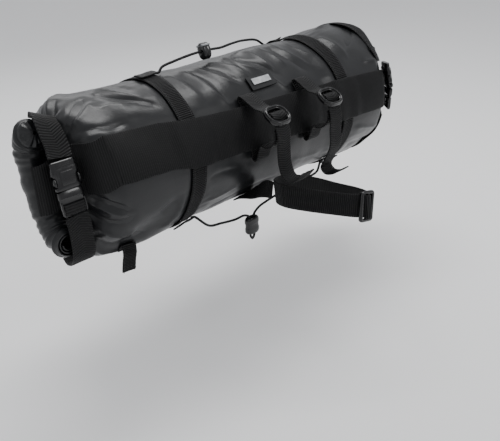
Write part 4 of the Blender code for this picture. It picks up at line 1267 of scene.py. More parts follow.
class RibTree:
    """Raises a strap's crosswise ribs from its run and span attributes."""

    def __init__(self, finish: Material) -> None:
        """Build the tree.

        Args:
            finish: The webbing's material.
        """
        made = NodeTree("webbing_ribs", Pitch=0.0024, Height=0.00022, Slant=0.0)
        entry = made.entry
        fields = {}
        for name in ("run", "span", "rib"):
            source = made.node("GeometryNodeInputNamedAttribute", data_type="FLOAT", Name=name)
            fields[name] = source.outputs["Attribute"]
        slanted = made.maths("MULTIPLY", made.maths("ABSOLUTE", fields["span"]), entry.outputs["Slant"])
        along = made.maths("ADD", fields["run"], slanted)
        turn = made.maths("MULTIPLY", made.maths("DIVIDE", along, entry.outputs["Pitch"]), 2 * math.pi)
        height = made.maths("MULTIPLY", made.maths("SINE", turn), entry.outputs["Height"])
        height = made.maths("MULTIPLY", height, fields["rib"])
        normal = made.node("GeometryNodeInputNormal")
        offset = made.node("ShaderNodeVectorMath", operation="SCALE")
        made.link(normal.outputs["Normal"], offset.inputs[0])
        made.link(height, offset.inputs["Scale"])
        moved = made.node("GeometryNodeSetPosition")
        made.link(entry.outputs["Geometry"], moved.inputs["Geometry"])
        made.link(offset.outputs["Vector"], moved.inputs["Offset"])
        made.finish(moved.outputs["Geometry"], finish)
        self.nodes = made


class StitchTree:
    """Lays stitches end to end along curves."""

    def __init__(self, finish: Material) -> None:
        """Build the tree.

        Args:
            finish: The thread's material.
        """
        made = NodeTree("sewn_stitches", Pitch=0.0034, Length=0.0026, Thread=0.00036)
        entry = made.entry
        spots = made.node("GeometryNodeCurveToPoints", mode="LENGTH")
        made.link(entry.outputs["Geometry"], spots.inputs["Curve"])
        made.link(entry.outputs["Pitch"], spots.inputs["Length"])
        bead = made.node("GeometryNodeMeshUVSphere", Segments=6, Rings=5, Radius=1.0)
        shape = made.node("ShaderNodeCombineXYZ")
        half = made.maths("MULTIPLY", entry.outputs["Length"], 0.5)
        made.link(entry.outputs["Thread"], shape.inputs["X"])
        made.link(entry.outputs["Thread"], shape.inputs["Y"])
        made.link(half, shape.inputs["Z"])
        laid = made.node("GeometryNodeInstanceOnPoints")
        made.link(spots.outputs["Points"], laid.inputs["Points"])
        made.link(bead.outputs["Mesh"], laid.inputs["Instance"])
        made.link(spots.outputs["Rotation"], laid.inputs["Rotation"])
        made.link(shape.outputs["Vector"], laid.inputs["Scale"])
        smooth = made.node("GeometryNodeSetShadeSmooth")
        made.link(laid.outputs["Instances"], smooth.inputs["Geometry"])
        made.finish(smooth.outputs["Geometry"], finish)
        self.nodes = made


# Straps


@dataclass
class Strap:
    """Woven strap round a middle surface: rows along it, columns across it.

    Attributes:
        name: The piece's name.
        middle: Grid of points, rows by columns.
        thickness: The webbing's thickness.
        closed: Whether the last row joins the first.
        weave: How its ribs run.
        flip: Whether the face that stitches lie on is turned over.
        pitch: Distance between ribs.
    """

    name: str
    middle: np.ndarray
    thickness: float = WEBBING
    closed: bool = False
    weave: Weave = Weave.STRAIGHT
    flip: bool = False
    pitch: float = 0.0024
    normal: np.ndarray = field(init=False)
    run: np.ndarray = field(init=False)

    def __post_init__(self) -> None:
        """Work out normals and the running length."""
        grid = self.middle
        if self.closed:
            along = np.roll(grid, -1, axis=0) - np.roll(grid, 1, axis=0)
        else:
            along = np.gradient(grid, axis=0)
        self.normal = unit(np.cross(along, np.gradient(grid, axis=1)))
        if self.flip:
            self.normal = -self.normal
        centre = grid[:, grid.shape[1] // 2]
        self.run = running(centre)

    def build(self, ribs: RibTree, finish: Material) -> Thing:
        """Make the strap with rolled edges and raised ribs.

        Args:
            ribs: The tree that raises the ribs.
            finish: The webbing's material.

        Returns:
            The finished plain mesh.
        """
        rows, cols = self.middle.shape[:2]
        half = self.thickness / 2
        across = unit(np.gradient(self.middle, axis=1))
        face, back = self.middle + self.normal * half, self.middle - self.normal * half
        arcs = (50.0, 0.0, -50.0)
        edges = {}
        for side, column in ((1.0, -1), (-1.0, 0)):
            level, upright = side * across[:, column] * half, self.normal[:, column] * half
            edges[side] = [self.middle[:, column] + level * math.cos(math.radians(a))
                           + upright * math.sin(math.radians(a)) for a in arcs]
        rings = [face[:, k] for k in range(cols)] + edges[1.0]
        rings += [back[:, k] for k in range(cols - 1, -1, -1)] + edges[-1.0][::-1]
        ring = np.stack(rings, axis=1)
        size = ring.shape[1]
        spans = np.linspace(-1.0, 1.0, cols)
        span = np.concatenate([spans, [1.0] * 3, spans[::-1], [-1.0] * 3])
        rib = np.concatenate([np.where(np.abs(spans) > 0.97, 0.4, 1.0), [0.0] * 3,
                              np.where(np.abs(spans[::-1]) > 0.97, -0.3, -0.8), [0.0] * 3])
        width = float(np.linalg.norm(self.middle[0, -1] - self.middle[0, 0]))
        faces = capped_faces(rows, size)
        if self.closed:
            faces = list(grid_faces(rows, size, wrap_rows=True, wrap_cols=True))
        run = np.repeat(self.run[:, None], size, axis=1)
        across_map = np.repeat(span[None, :] * width / 2, rows, axis=0)
        phase = (run + np.abs(across_map) * self.weave.value) * RIB_PITCH / self.pitch
        uv = np.stack([phase, across_map], axis=-1).reshape(-1, 2)
        made = mesh_piece(self.name, ring.reshape(-1, 3), faces, finish, 60.0, uv)
        slant = self.weave.value * width / 2
        for key, values in (("run", run), ("span", np.repeat(span[None, :], rows, axis=0)),
                            ("rib", np.repeat(rib[None, :], rows, axis=0))):
            layer = made.data.attributes.new(key, "FLOAT", "POINT")
            layer.data.foreach_set("value", values.astype(np.float32).ravel())
        ribs.nodes.put_on(made, Pitch=self.pitch, Slant=slant)
        plain = baked(made, self.name)
        for key in ("run", "span", "rib"):
            layer = plain.data.attributes.get(key)
            if layer is not None:
                plain.data.attributes.remove(layer)
        return plain

    def on_face(self, run: np.ndarray, span: np.ndarray, lift: float = 0.0001) -> np.ndarray:
        """Points on the strap's outer face.

        Args:
            run: Distances along the strap.
            span: Places across it, from -1 to 1.
            lift: Height above the face.

        Returns:
            The points.
        """
        rows, cols = self.middle.shape[:2]
        run, span = np.broadcast_arrays(np.asarray(run, float), np.asarray(span, float))
        row = np.clip(np.interp(run, self.run, np.arange(rows)), 0, rows - 1.001)
        column = np.clip((span + 1) / 2 * (cols - 1), 0, cols - 1.001)
        i, j = row.astype(int), column.astype(int)
        u, v = (row - i)[..., None], (column - j)[..., None]

        def read(grid: np.ndarray) -> np.ndarray:
            """Read a grid between its points.

            Args:
                grid: The grid.

            Returns:
                The values.
            """
            low = (1 - v) * grid[i, j] + v * grid[i, j + 1]
            high = (1 - v) * grid[i + 1, j] + v * grid[i + 1, j + 1]
            return (1 - u) * low + u * high

        return read(self.middle) + read(self.normal) * (self.thickness / 2 + lift)

    def edge_rows(self, inset: float = 0.86, first: float = 0.0, last: Optional[float] = None,
                  step: float = 0.0012) -> list[np.ndarray]:
        """Two stitch lines along both edges.

        Args:
            inset: Place across the strap, as a share of half its width.
            first: Where they start along the strap.
            last: Where they stop.
            step: Distance between points.

        Returns:
            Both lines.
        """
        last = float(self.run[-1]) if last is None else last
        run = np.linspace(first, last, max(4, int((last - first) / step)))
        return [self.on_face(run, np.full(run.shape, side * inset)) for side in (-1.0, 1.0)]

    def box_rows(self, first: float, last: float, inset: float = 0.80,
                 cross: bool = True) -> list[np.ndarray]:
        """A sewn box, with a cross in it.

        Args:
            first: Where it starts along the strap.
            last: Where it stops.
            inset: Its half width as a share of the strap's.
            cross: Whether both diagonals are sewn too.

        Returns:
            The stitch lines.
        """
        corners = [(first, -inset), (last, -inset), (last, inset), (first, inset), (first, -inset)]
        if cross:
            corners += [(last, inset), (last, -inset), (first, inset)]
        lines = []
        for (a, b), (c, d) in zip(corners[:-1], corners[1:]):
            share = np.linspace(0.0, 1.0, 8)
            lines.append(self.on_face(a + (c - a) * share, b + (d - b) * share))
        return lines


def ribbon(name: str, route: Points, side: np.ndarray, width: float, skin: Optional[TubeSkin] = None,
           step: float = 0.00042, cols: int = 9, lift: float = LIFT, **settings: object) -> Strap:
    """Strap along a route.

    Args:
        name: The piece's name.
        route: Closely spaced points of its middle line.
        side: Direction of its width, one for all or one for each point.
        width: Its width.
        skin: The tube to rest on, where it crosses it.
        step: Distance between rows.
        cols: Points across it.
        lift: Least height of its middle above the tube.
        **settings: Further fields of the strap.

    Returns:
        The strap.
    """
    route = np.array(route, float)
    sides = np.array(side, float)
    if sides.ndim == 1:
        sides = np.tile(sides, (len(route), 1))
    length = float(np.sum(np.linalg.norm(np.diff(route, axis=0), axis=1)))
    run = running(route)
    steps = np.linspace(0.0, length, max(6, int(length / step)))
    path = np.stack([np.interp(steps, run, route[:, k]) for k in range(3)], axis=1)
    sides = np.stack([np.interp(steps, run, sides[:, k]) for k in range(3)], axis=1)
    tangent = unit(np.gradient(path, axis=0))
    sides = unit(sides - tangent * np.sum(sides * tangent, axis=1, keepdims=True))
    shares = np.linspace(-0.5, 0.5, cols) * (width - WEBBING)
    grid = path[:, None, :] + sides[:, None, :] * shares[None, :, None]
    if skin is not None:
        grid = skin.rest(grid, lift)
    return Strap(name, grid, **settings)


class Tailor:
    """Builds pieces and remembers what is sewn."""

    def __init__(self, wardrobe: Wardrobe) -> None:
        """Prepare the trees.

        Args:
            wardrobe: The finishes.
        """
        self.finishes = wardrobe
        self.ribs = RibTree(wardrobe.webbing)
        self.stitches = StitchTree(wardrobe.thread)
        self.lines: dict[str, list[np.ndarray]] = {}

    def sew(self, piece: str, lines: Sequence[np.ndarray]) -> None:
        """Remember stitch lines for a piece."""
        self.lines.setdefault(piece, []).extend(lines)

    def strap(self, strap: Strap) -> Thing:
        """Build a strap, which stands for the node of its name."""
        return self.done(strap.build(self.ribs, self.finishes.webbing), Slot.WEBBING, strap.name)

    def done(self, piece: Thing, slot: Slot, *nodes: str) -> Thing:
        """Hand a finished piece to the frame.

        Args:
            piece: The piece.
            slot: Its material slot; not used.
            *nodes: The nodes that it stands for.

        Returns:
            The piece.
        """
        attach(piece, "root")
        if nodes:
            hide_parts(*nodes)
        LOG.info("%s: %d faces", piece.name, len(piece.data.polygons) if piece.type == "MESH" else 0)
        return piece

    def sew_all(self) -> None:
        """Turn every remembered stitch line into thread, one piece for each sewn part."""
        for piece, lines in self.lines.items():
            source = line_curve(piece + "_stitch_lines", lines)
            self.stitches.nodes.put_on(source)
            self.done(baked(source, piece + "_stitches"), Slot.WEBBING)


# Sub-assemblies


@dataclass
class BagTube:
    """The cloth tube between both rolled mouths."""

    skin: TubeSkin
    stations: int = 236
    around: int = 312
    inner_stations: int = 60

    def rows(self, count: int) -> np.ndarray:
        """Places along the bag, closer together near both ends.

        Args:
            count: How many.

        Returns:
            The places.
        """
        even = np.linspace(0.0, 1.0, count)
        eased = even - 0.055 * np.sin(4 * math.pi * even) * 0.5
        return self.skin.xs[0] + (self.skin.xs[-1] - self.skin.xs[0]) * eased

    def build(self, tailor: Tailor) -> None:
        """Make the creased outer wall, the plain inner wall and their rims.

        Args:
            tailor: Who dresses, sews and records the pieces.
        """
        skin = self.skin
        angles = np.linspace(0.0, 360.0, self.around, endpoint=False)
        x, degrees = np.meshgrid(self.rows(self.stations), angles, indexing="ij")
        plain = skin.at(x, degrees)
        outward = skin.normals(x, degrees, 0.0025, 2.5)
        inside = smoothstep((x - skin.xs[0]) / 0.006) * smoothstep((skin.xs[-1] - x) / 0.006)
        outer = plain + outward * (skin.relief(x, degrees) * inside)[..., None]
        xi, di = np.meshgrid(self.rows(self.inner_stations), angles, indexing="ij")
        inner = skin.at(xi, di, inner=True)
        rows, back = self.stations, self.inner_stations
        base = rows * self.around
        faces = list(grid_faces(rows, self.around, wrap_cols=True))
        faces += [face[::-1] for face in grid_faces(back, self.around, wrap_cols=True, first=base)]
        for outer_row, inner_row in ((0, 0), (rows - 1, back - 1)):
            for k in range(self.around):
                n = (k + 1) % self.around
                a, b = outer_row * self.around, base + inner_row * self.around
                faces.append((a + k, a + n, b + n, b + k))
        vertices = np.concatenate([outer.reshape(-1, 3), inner.reshape(-1, 3)])
        piece = mesh_piece("roll_body_cloth", vertices, faces, tailor.finishes.fabric, 75.0)
        tailor.done(piece, Slot.FABRIC, "roll_body")


@dataclass
class EndRoll:
    """A rolled-up mouth: a spiral of cloth swept along the mouth line, gathered at its ends."""

    skin: TubeSkin
    side: str
    stations: int = 150
    per_turn: int = 36
    seed: int = 3
    folds: int = 9
    end_crowding: float = 0.030
    end_narrowing: float = 0.10
    end_reach: float = 0.035
    gather_reach: float = 0.13
    gather_height: float = 0.046
    gather_draw: float = 0.045
    dome: float = 0.0075

    def build(self, tailor: Tailor) -> None:
        """Make the spiral sweep with its gathers.

        Args:
            tailor: Who dresses, sews and records the pieces.
        """
        mouth = self.skin.mouths[self.side]
        outward = -1.0 if self.side == "left" else 1.0
        radius = mouth["roll_radius"]
        axis_x = mouth["x"] + outward * (radius + GAP)
        steps = int(self.per_turn * ROLL_TURNS) + 1
        turn = np.arange(steps) * 2 * math.pi / self.per_turn
        r = radius - ROLL_SHEET / 2 - ROLL_PITCH * np.arange(steps) / self.per_turn
        rng = np.random.default_rng(self.seed + len(self.side))
        waves = [(rng.uniform(3, 17), rng.uniform(0, 2 * math.pi), rng.uniform(-2.2, 2.2),
                  rng.uniform(0.4, 1)) for _ in range(self.folds)]
        rings = []
        for k in range(self.stations):
            share = k / (self.stations - 1)
            share = share - self.end_crowding * math.sin(4 * math.pi * share)
            angle = -mouth["down"] + (mouth["down"] + mouth["up"]) * share
            point, normal = mouth_line(mouth, angle)
            end = min(share, 1 - share)
            closing = 1.0 - self.end_narrowing * (1 - min(1.0, end / self.end_reach)) ** 2
            gather = 0.55 + 0.45 * math.exp(-end / self.gather_reach)
            ripple = sum(size * np.sin(pace * share * 2 * math.pi + phase + fan * np.cos(turn))
                         for pace, phase, fan, size in waves)
            sharp = np.sign(ripple) * np.abs(ripple) ** 0.8
            swell = 1.0 + (self.gather_height * gather * sharp - self.gather_draw)
            sheet = ROLL_SHEET * (0.42 + 0.58 * min(1.0, end / 0.02))
            rings.append(self.ring(r * np.minimum(swell, 1.03) * closing, turn, sheet, outward, axis_x,
                                   point, normal))
        rings = self.tucked(rings)
        vertices = np.array(rings)
        size = vertices.shape[1]
        count = len(rings)
        faces = list(grid_faces(count, size, wrap_cols=True))
        for i in (0, count - 1):
            for k in range(steps - 1):
                far = size - 1 - k
                faces.append((i * size + k, i * size + k + 1, i * size + far - 1, i * size + far))
        piece = mesh_piece(f"end_roll_{self.side}_cloth", vertices.reshape(-1, 3), faces,
                           tailor.finishes.fabric, 50.0)
        tailor.done(piece, Slot.FABRIC, f"end_roll_{self.side}")

    def tucked(self, rings: list[np.ndarray]) -> list[np.ndarray]:
        """Draw the roll's cloth in beyond its upper end, as a pinched dome.

        Args:
            rings: The outlines from the lower end to the upper one.

        Returns:
            The outlines with the tucked ones after them.
        """
        ring = rings[-1]
        middle = ring.mean(axis=0)
        ahead = unit(middle - rings[-3].mean(axis=0))
        spokes = np.cos(np.linspace(0.0, 2 * math.pi * 11 * ROLL_TURNS, len(ring) // 2))
        spokes = np.concatenate([spokes, spokes[::-1], np.zeros(len(ring) % 2)])[:, None]
        longer = list(rings)
        for share in np.linspace(0.10, 1.0, 10):
            shrink = math.sqrt(max(0.0, 1.0 - 0.96 * share ** 2))
            pinch = 1.0 + 0.05 * math.sin(math.pi * share)
            lift = self.dome * share + 0.0011 * spokes * math.sin(math.pi * share)
            longer.append(middle + (ring - middle) * shrink * pinch + ahead * lift)
        return longer

    @staticmethod
    def ring(r: np.ndarray, turn: np.ndarray, sheet: float, outward: float, axis_x: float,
             point: np.ndarray, normal: np.ndarray) -> np.ndarray:
        """One station's outline.

        Args:
            r: Radii of the sheet's middle.
            turn: Angles round the roll.
            sheet: The rolled cloth's thickness.
            outward: Direction of the end along X.
            axis_x: Place of the roll's axis along X.
            point: Place of the mouth line (Y, Z).
            normal: Its normal (Y, Z).

        Returns:
            The outline's points, outer side first.
        """
        level, upright = -outward * np.cos(turn), np.sin(turn)
        sides = []
        for offset in (sheet / 2, -sheet / 2):
            a, b = level * (r + offset), upright * (r + offset)
            places = [axis_x + a, point[0] + b * normal[0], point[1] + b * normal[1]]
            sides.append(np.stack(places, axis=1))
        return np.vstack([sides[0], sides[1][::-1]])


def band_middle(side: str, degrees: np.ndarray) -> np.ndarray:
    """Place of a band's middle along the bag at an angle.

    Args:
        side: Which end or side it is on.
        degrees: Angle round the tube.

    Returns:
        The place along X.
    """
    if side == "right":
        return np.full(np.shape(degrees), RIGHT_BAND_X)
    return LEFT_BAND_X + LEFT_BAND_LEAN * np.sin(np.radians(degrees))


@dataclass
class BagWebbing:
    """Everything that is sewn flat on the tube: bands, spine, cord tabs, tag and label."""

    skin: TubeSkin

    def build(self, tailor: Tailor) -> None:
        """Make all of it.

        Args:
            tailor: Who dresses, sews and records the pieces.
        """
        for side in ("left", "right"):
            self.band(tailor, side)
        self.spine(tailor)
        for name, (side, degrees) in CORD_TABS.items():
            self.cord_tab(tailor, name, side, degrees)
        self.hang_tag(tailor)
        self.label(tailor)

    def band(self, tailor: Tailor, side: str) -> None:
        """Webbing band sewn right round the tube, with two rows of stitches.

        Args:
            tailor: Who dresses, sews and records the pieces.
            side: Which end or side it is on.
        """
        degrees = np.linspace(0.0, 360.0, BAND_ROWS, endpoint=False)
        shares = np.linspace(-0.5, 0.5, 7) * (BAND_WIDTH - WEBBING)
        x = band_middle(side, degrees)[:, None] + shares[None, :]
        wide = np.repeat(degrees[:, None], len(shares), axis=1)
        grid = self.skin.lifted(x, wide, np.full(x.shape, LIFT + 0.0002))
        strap = Strap(f"band_{side}", grid, closed=True, pitch=0.0022)
        tailor.strap(strap)
        tailor.sew(f"band_{side}", strap.edge_rows(0.80))

    def spine(self, tailor: Tailor) -> None:
        """Wide webbing along the rider's side, over bands and bar straps and round the left roll.

        Args:
            tailor: Who dresses, sews and records the pieces.
        """
        table = np.array(SPINE_LINE)
        crossings = [float(band_middle("left", 160.0)), RIGHT_BAND_X, *BAR_STRAP_X.values()]
        xs = np.linspace(-0.2170, 0.2190, 1060)
        middle = np.interp(xs, table[:, 0], table[:, 1])
        over = np.zeros_like(xs)
        for place in crossings:
            over = np.maximum(over, smoothstep(1.0 - (np.abs(xs - place) - 0.013) / 0.014))
        lift = LIFT + GAP + (WEBBING + 2 * GAP) * over
        half_angle = math.degrees((SPINE_WIDTH - WEBBING) / 2 / BAG_RADIUS)
        shares = np.linspace(1.0, -1.0, 17)
        degrees = middle[:, None] + shares[None, :] * half_angle
        grid = self.skin.lifted(np.repeat(xs[:, None], 17, axis=1), degrees,
                                np.repeat(lift[:, None], 17, axis=1))
        first = grid[0]
        tail = smooth_path([*SPINE_TAIL, first[8]], 200)[:-1]
        upright = unit(first[-1] - first[0])
        blend = (np.arange(len(tail)) / len(tail))[:, None]
        side = unit((1 - blend) * np.array([0.0, 0.0, 1.0]) + blend * upright)
        half_width = (SPINE_WIDTH - WEBBING) / 2
        lead = tail[:, None, :] - side[:, None, :] * shares[None, :, None] * half_width
        strap = Strap("spine_webbing", np.concatenate([lead, grid]), flip=True, pitch=0.0023)
        tailor.strap(strap)
        tailor.sew("spine_webbing", strap.edge_rows(0.93, 0.075))
        for place in crossings[2:]:
            run = float(np.interp(place, strap.middle[:, 8, 0], strap.run))
            for edge in (-0.0115, 0.0115):
                spans = np.linspace(-0.88, 0.88, 30)
                tailor.sew("spine_webbing", [strap.on_face(np.full(30, run + edge), spans)])

    def cord_tab(self, tailor: Tailor, name: str, side: str, degrees: float) -> None:
        """Short tab across a band, where a cord is sewn in.

        Args:
            tailor: Who dresses, sews and records the pieces.
            name: The piece's name.
            side: Which end or side it is on.
            degrees: Angle round the tube.
        """
        inside = 1.0 if side == "left" else -1.0
        middle = float(band_middle(side, degrees))
        half_angle = math.degrees((TAB_WIDTH - WEBBING) / 2 / BAG_RADIUS)
        along = np.linspace(-TAB_REACH, TAB_REACH, 40)
        shares = np.linspace(-1.0, 1.0, 7)
        x = middle + inside * along[:, None] + 0 * shares[None, :]
        wide = degrees + shares[None, :] * half_angle + 0 * along[:, None]
        lift = np.full(x.shape, LIFT + WEBBING + 4 * GAP)
        strap = Strap(f"cord_tab_{name}", self.skin.lifted(x, wide, lift), flip=side == "right")
        tailor.strap(strap)
        tailor.sew(f"cord_tab_{name}", strap.box_rows(0.0045, 0.0185, 0.72))

    def hang_tag(self, tailor: Tailor) -> None:
        """Webbing tag below the tube near the left end, with a sewn hem.

        Args:
            tailor: Who dresses, sews and records the pieces.
        """
        start = self.skin.lifted(-0.2020, 232.0, np.array(LIFT))
        deeper = self.skin.lifted(-0.2020, 240.0, np.array(LIFT))
        y, z = start[1] - 0.0015, start[2]
        route = [deeper, start, (-0.2030, y - 0.0010, z - 0.0080), (-0.2050, y, z - 0.0200),
                 (-0.2060, y + 0.0010, z - 0.0300)]
        strap = ribbon("hang_tag", smooth_path(route, 40), X_AXIS, TAG_WIDTH, self.skin,
                       weave=Weave.STRAIGHT, pitch=0.0018)
        tailor.strap(strap)
        length = float(strap.run[-1])
        spans = np.linspace(-0.85, 0.85, 12)
        hems = [strap.on_face(np.full(12, length - inset), spans) for inset in (0.0045, 0.0069)]
        tailor.sew("hang_tag", hems)
        tailor.sew("hang_tag", strap.edge_rows(0.86, 0.012))

    def label(self, tailor: Tailor) -> None:
        """Cloth flap with a plain pale label sewn on it.

        Args:
            tailor: Who dresses, sews and records the pieces.
        """
        for name, x0, x1, low, high, lift, thick, slot in (
                ("label_flap", -0.0200, 0.0180, 124.0, 136.0, 0.0019, 0.0012, Slot.FABRIC),
                ("woven_label", -0.0150, 0.0120, 126.6, 132.0, 0.0034, 0.0009, Slot.LABEL)):
            xs, degrees = np.meshgrid(np.linspace(x0, x1, 60), np.linspace(low, high, 18), indexing="ij")
            grid = self.skin.lifted(xs, degrees, np.full(xs.shape, lift))
            strap = Strap(name, grid, thick, pitch=0.0011)
            finish = tailor.finishes.label if slot is Slot.LABEL else tailor.finishes.fabric
            half = thick / 2
            rows, cols = grid.shape[:2]
            sides = [grid + strap.normal * half, (grid - strap.normal * half)[:, ::-1]]
            ring = np.concatenate(sides, axis=1)
            piece = mesh_piece(name + "_piece", ring.reshape(-1, 3), capped_faces(rows, 2 * cols), finish,
                               50.0)
            tailor.done(piece, slot, name)
            length = float(strap.run[-1])
            tailor.sew(name, strap.box_rows(0.0012, length - 0.0012, 0.84, cross=False))


@dataclass
class ClosureLeft:
    """Straps and side-release buckle over the notch between the tube and its left roll."""

    skin: TubeSkin
    upper: Points = ((-0.2475, 0.0960, 0.0480), (-0.2505, 0.0880, 0.0535), (-0.2540, 0.0790, 0.0562),
                     (-0.2560, 0.0700, 0.0525), (-0.2560, 0.0635, 0.0430), (-0.2555, 0.0585, 0.0330),
                     (-0.2568, 0.0529, 0.0221))
    lower: Points = ((-0.2450, 0.0860, -0.0985), (-0.2485, 0.0740, -0.0970), (-0.2520, 0.0620, -0.0925),
                     (-0.2545, 0.0500, -0.0860), (-0.2560, 0.0412, -0.0750), (-0.2560, 0.0400, -0.0600),
                     (-0.2562, 0.0395, -0.0440), (-0.2568, 0.0408, -0.0322))
    tilt: Vec3 = (1.0, 0.0, -0.60)
    top: Vec3 = (-0.2570, 0.0520, 0.0205)
    bottom: Vec3 = (-0.2570, 0.0410, -0.0315)

    def build(self, tailor: Tailor) -> None:
        """Make both straps with their stitches, and the buckle.

        Args:
            tailor: Who dresses, sews and records the pieces.
        """
        for half, points in (("upper", self.upper), ("lower", self.lower)):
            route = smooth_path(points, 60)
            share = np.linspace(0.0, 1.0, 60)[:, None]
            level = np.array([[1.0, 0.0, 0.0]])
            turned = 1 - share if half == "upper" else 0 * share
            sides = (1 - turned) * level + turned * np.array([self.tilt])
            strap = ribbon(f"closure_strap_{half}_left", route, sides, CLOSURE_WIDTH, self.skin,
                           weave=Weave.HERRINGBONE, pitch=HERRINGBONE_PITCH, flip=half == "upper")
            tailor.strap(strap)
            length = float(strap.run[-1])
            if half == "upper":
                tailor.sew(strap.name, strap.box_rows(length - 0.026, length - 0.0235, 0.86, cross=False))
                tailor.sew(strap.name, strap.edge_rows(0.88, 0.004, length - 0.026))
            else:
                tailor.sew(strap.name, strap.box_rows(0.020, 0.036, 0.80))
                tailor.sew(strap.name, strap.edge_rows(0.88, 0.040))
        top, bottom = np.array(self.top), np.array(self.bottom)
        SideReleaseBuckle("left", top, bottom, X_AXIS).build(tailor)


@dataclass
class ClosureRight:
    """Straps and buckle on the slope of the tube's right end."""

    skin: TubeSkin
    first_x: float = 0.1970
    last_x: float = 0.2215
    middle_x: float = 0.2095

    def build(self, tailor: Tailor) -> None:
        """Make both straps and the buckle.

        Args:
            tailor: Who dresses, sews and records the pieces.
        """
        skin = self.skin
        for half, first, last in (("upper", 45.0, 144.0), ("lower", 288.0, 198.0)):
            count = int(abs(last - first) / 360 * BAND_ROWS)
            degrees = np.linspace(first, last, count)[:, None]
            x = np.linspace(self.first_x + WEBBING / 2, self.last_x - WEBBING / 2, 9)[None, :]
            x, degrees = np.broadcast_arrays(x, degrees)
            grid = skin.lifted(x, degrees, np.full(x.shape, LIFT + 2 * GAP))
            strap = Strap(f"closure_strap_{half}_right", grid, weave=Weave.HERRINGBONE,
                          pitch=HERRINGBONE_PITCH, flip=half == "lower")
            tailor.strap(strap)
            tailor.sew(strap.name, strap.edge_rows(0.88))
            length = float(strap.run[-1])
            tailor.sew(strap.name, strap.box_rows(length - 0.030, length - 0.016, 0.80))
        first, last = 146.5, 194.5
        middle = first + (last - first) * 0.52
        across = skin.at(self.middle_x + 0.012, middle) - skin.at(self.middle_x - 0.012, middle)
        start = skin.lifted(self.middle_x, first, np.array(0.0090))
        joint = skin.lifted(self.middle_x, middle, np.array(0.0100))
        stop = skin.lifted(self.middle_x, last, np.array(0.0090))
        SideReleaseBuckle("right", start, stop, across, joint).build(tailor)


@dataclass
class SideReleaseBuckle:
    """Side-release buckle: a socket with side windows, and a plug whose prongs show in them."""

    side: str
    start: np.ndarray
    stop: np.ndarray
    across: np.ndarray
    joint: Optional[np.ndarray] = None
    width: float = 0.0285
    height: float = 0.0088

    def build(self, tailor: Tailor) -> None:
        """Make both halves.

        Args:
            tailor: Who dresses, sews and records the pieces.
        """
        joint = self.start + (self.stop - self.start) * 0.52 if self.joint is None else self.joint
        along = unit(joint - self.start)
        across = square_to(along, self.across)
        self.half(tailor, "socket", self.start + along * GAP, joint - along * GAP * 0.5, across)
        along = unit(self.stop - joint)
        across = square_to(along, self.across)
        self.half(tailor, "plug", joint + along * GAP * 0.5, self.stop - along * GAP, across)

    @staticmethod
    def socket_rows() -> list[Points]:
        """Rows of the socket's lofts: its shell, the prongs in its windows, its ladder bars and its pad.

        Returns:
            One table for each loft.
        """
        prongs = [tuple((run, 0.0, wide, high, side * shift) for run, wide, high, shift in WINDOW_PRONG)
                  for side in (-1.0, 1.0)]
        bars = [((0.0, run, 0.55, 0.10, 0.0, 0.74), (0.0, run + 0.0009, 0.55, 0.10, 0.0, 0.74))
                for run in (0.0012, 0.0028, 0.0044, 0.0060)]
        return [SOCKET_SHELL, *prongs, *bars, SOCKET_PAD]

    @staticmethod
    def plug_rows() -> list[Points]:
        """Rows of the plug's lofts: its body, its side rails, its three bars and the webbing over them.

        Returns:
            One table for each loft.
        """
        rails = [tuple((run, 0.0, wide, high, side * shift) for run, wide, high, shift in PLUG_RAIL)
                 for side in (-1.0, 1.0)]
        bars = [tuple((run, *row) for row in PLUG_BAR) for run in (0.58, 0.76, 0.94)]
        return [PLUG_BODY, *rails, *bars, PLUG_WEBBING]

    @staticmethod
    def section(row: Sequence[float], length: float, w: float, h: float) -> Sequence[float]:
        """One section of a loft.

        Args:
            row: The section's row of shares.
            length: The half's length.
            w: Half its width.
            h: Half its height.

        Returns:
            Run, half width, half height, shift across and rise in metres.
        """
        share, more, wide, high, shift, rise = (*row, *[0.0] * (6 - len(row)))
        return length * share + more, w * wide, h * high, w * shift, h * rise

    def half(self, tailor: Tailor, kind: str, start: np.ndarray, stop: np.ndarray,
             across: np.ndarray) -> None:
        """Make one half as lofts joined into one piece.

        Args:
            tailor: Who dresses, sews and records the pieces.
            kind: Which half: socket or plug.
            start: Where it starts.
            stop: Where it stops.
            across: Unit direction of its width.
        """
        along = unit(stop - start)
        length = float(np.linalg.norm(stop - start))
        w, h = self.width / 2, self.height / 2
        lofts = self.socket_rows()
        if kind == "plug":
            w, h = w * PLUG_NARROWER, h * PLUG_LOWER
            lofts = self.plug_rows()
        parts = []
        for number, rows in enumerate(lofts):
            sections = [self.section(row, length, w, h) for row in rows]
            vertices, faces = rounded_loft(start, along, across, sections)
            webbing = rows is PLUG_WEBBING
            finish = tailor.finishes.webbing if webbing else tailor.finishes.plastic
            uv = np.zeros((len(vertices), 2)) + (vertices[:, [2, 0]] if webbing else 0)
            parts.append(mesh_piece(f"{kind}_{number}", vertices, faces, finish, 32.0, uv))
        name = f"closure_buckle_{kind}_{self.side}"
        tailor.done(joined(name + "_piece", parts), Slot.PLASTIC, name)


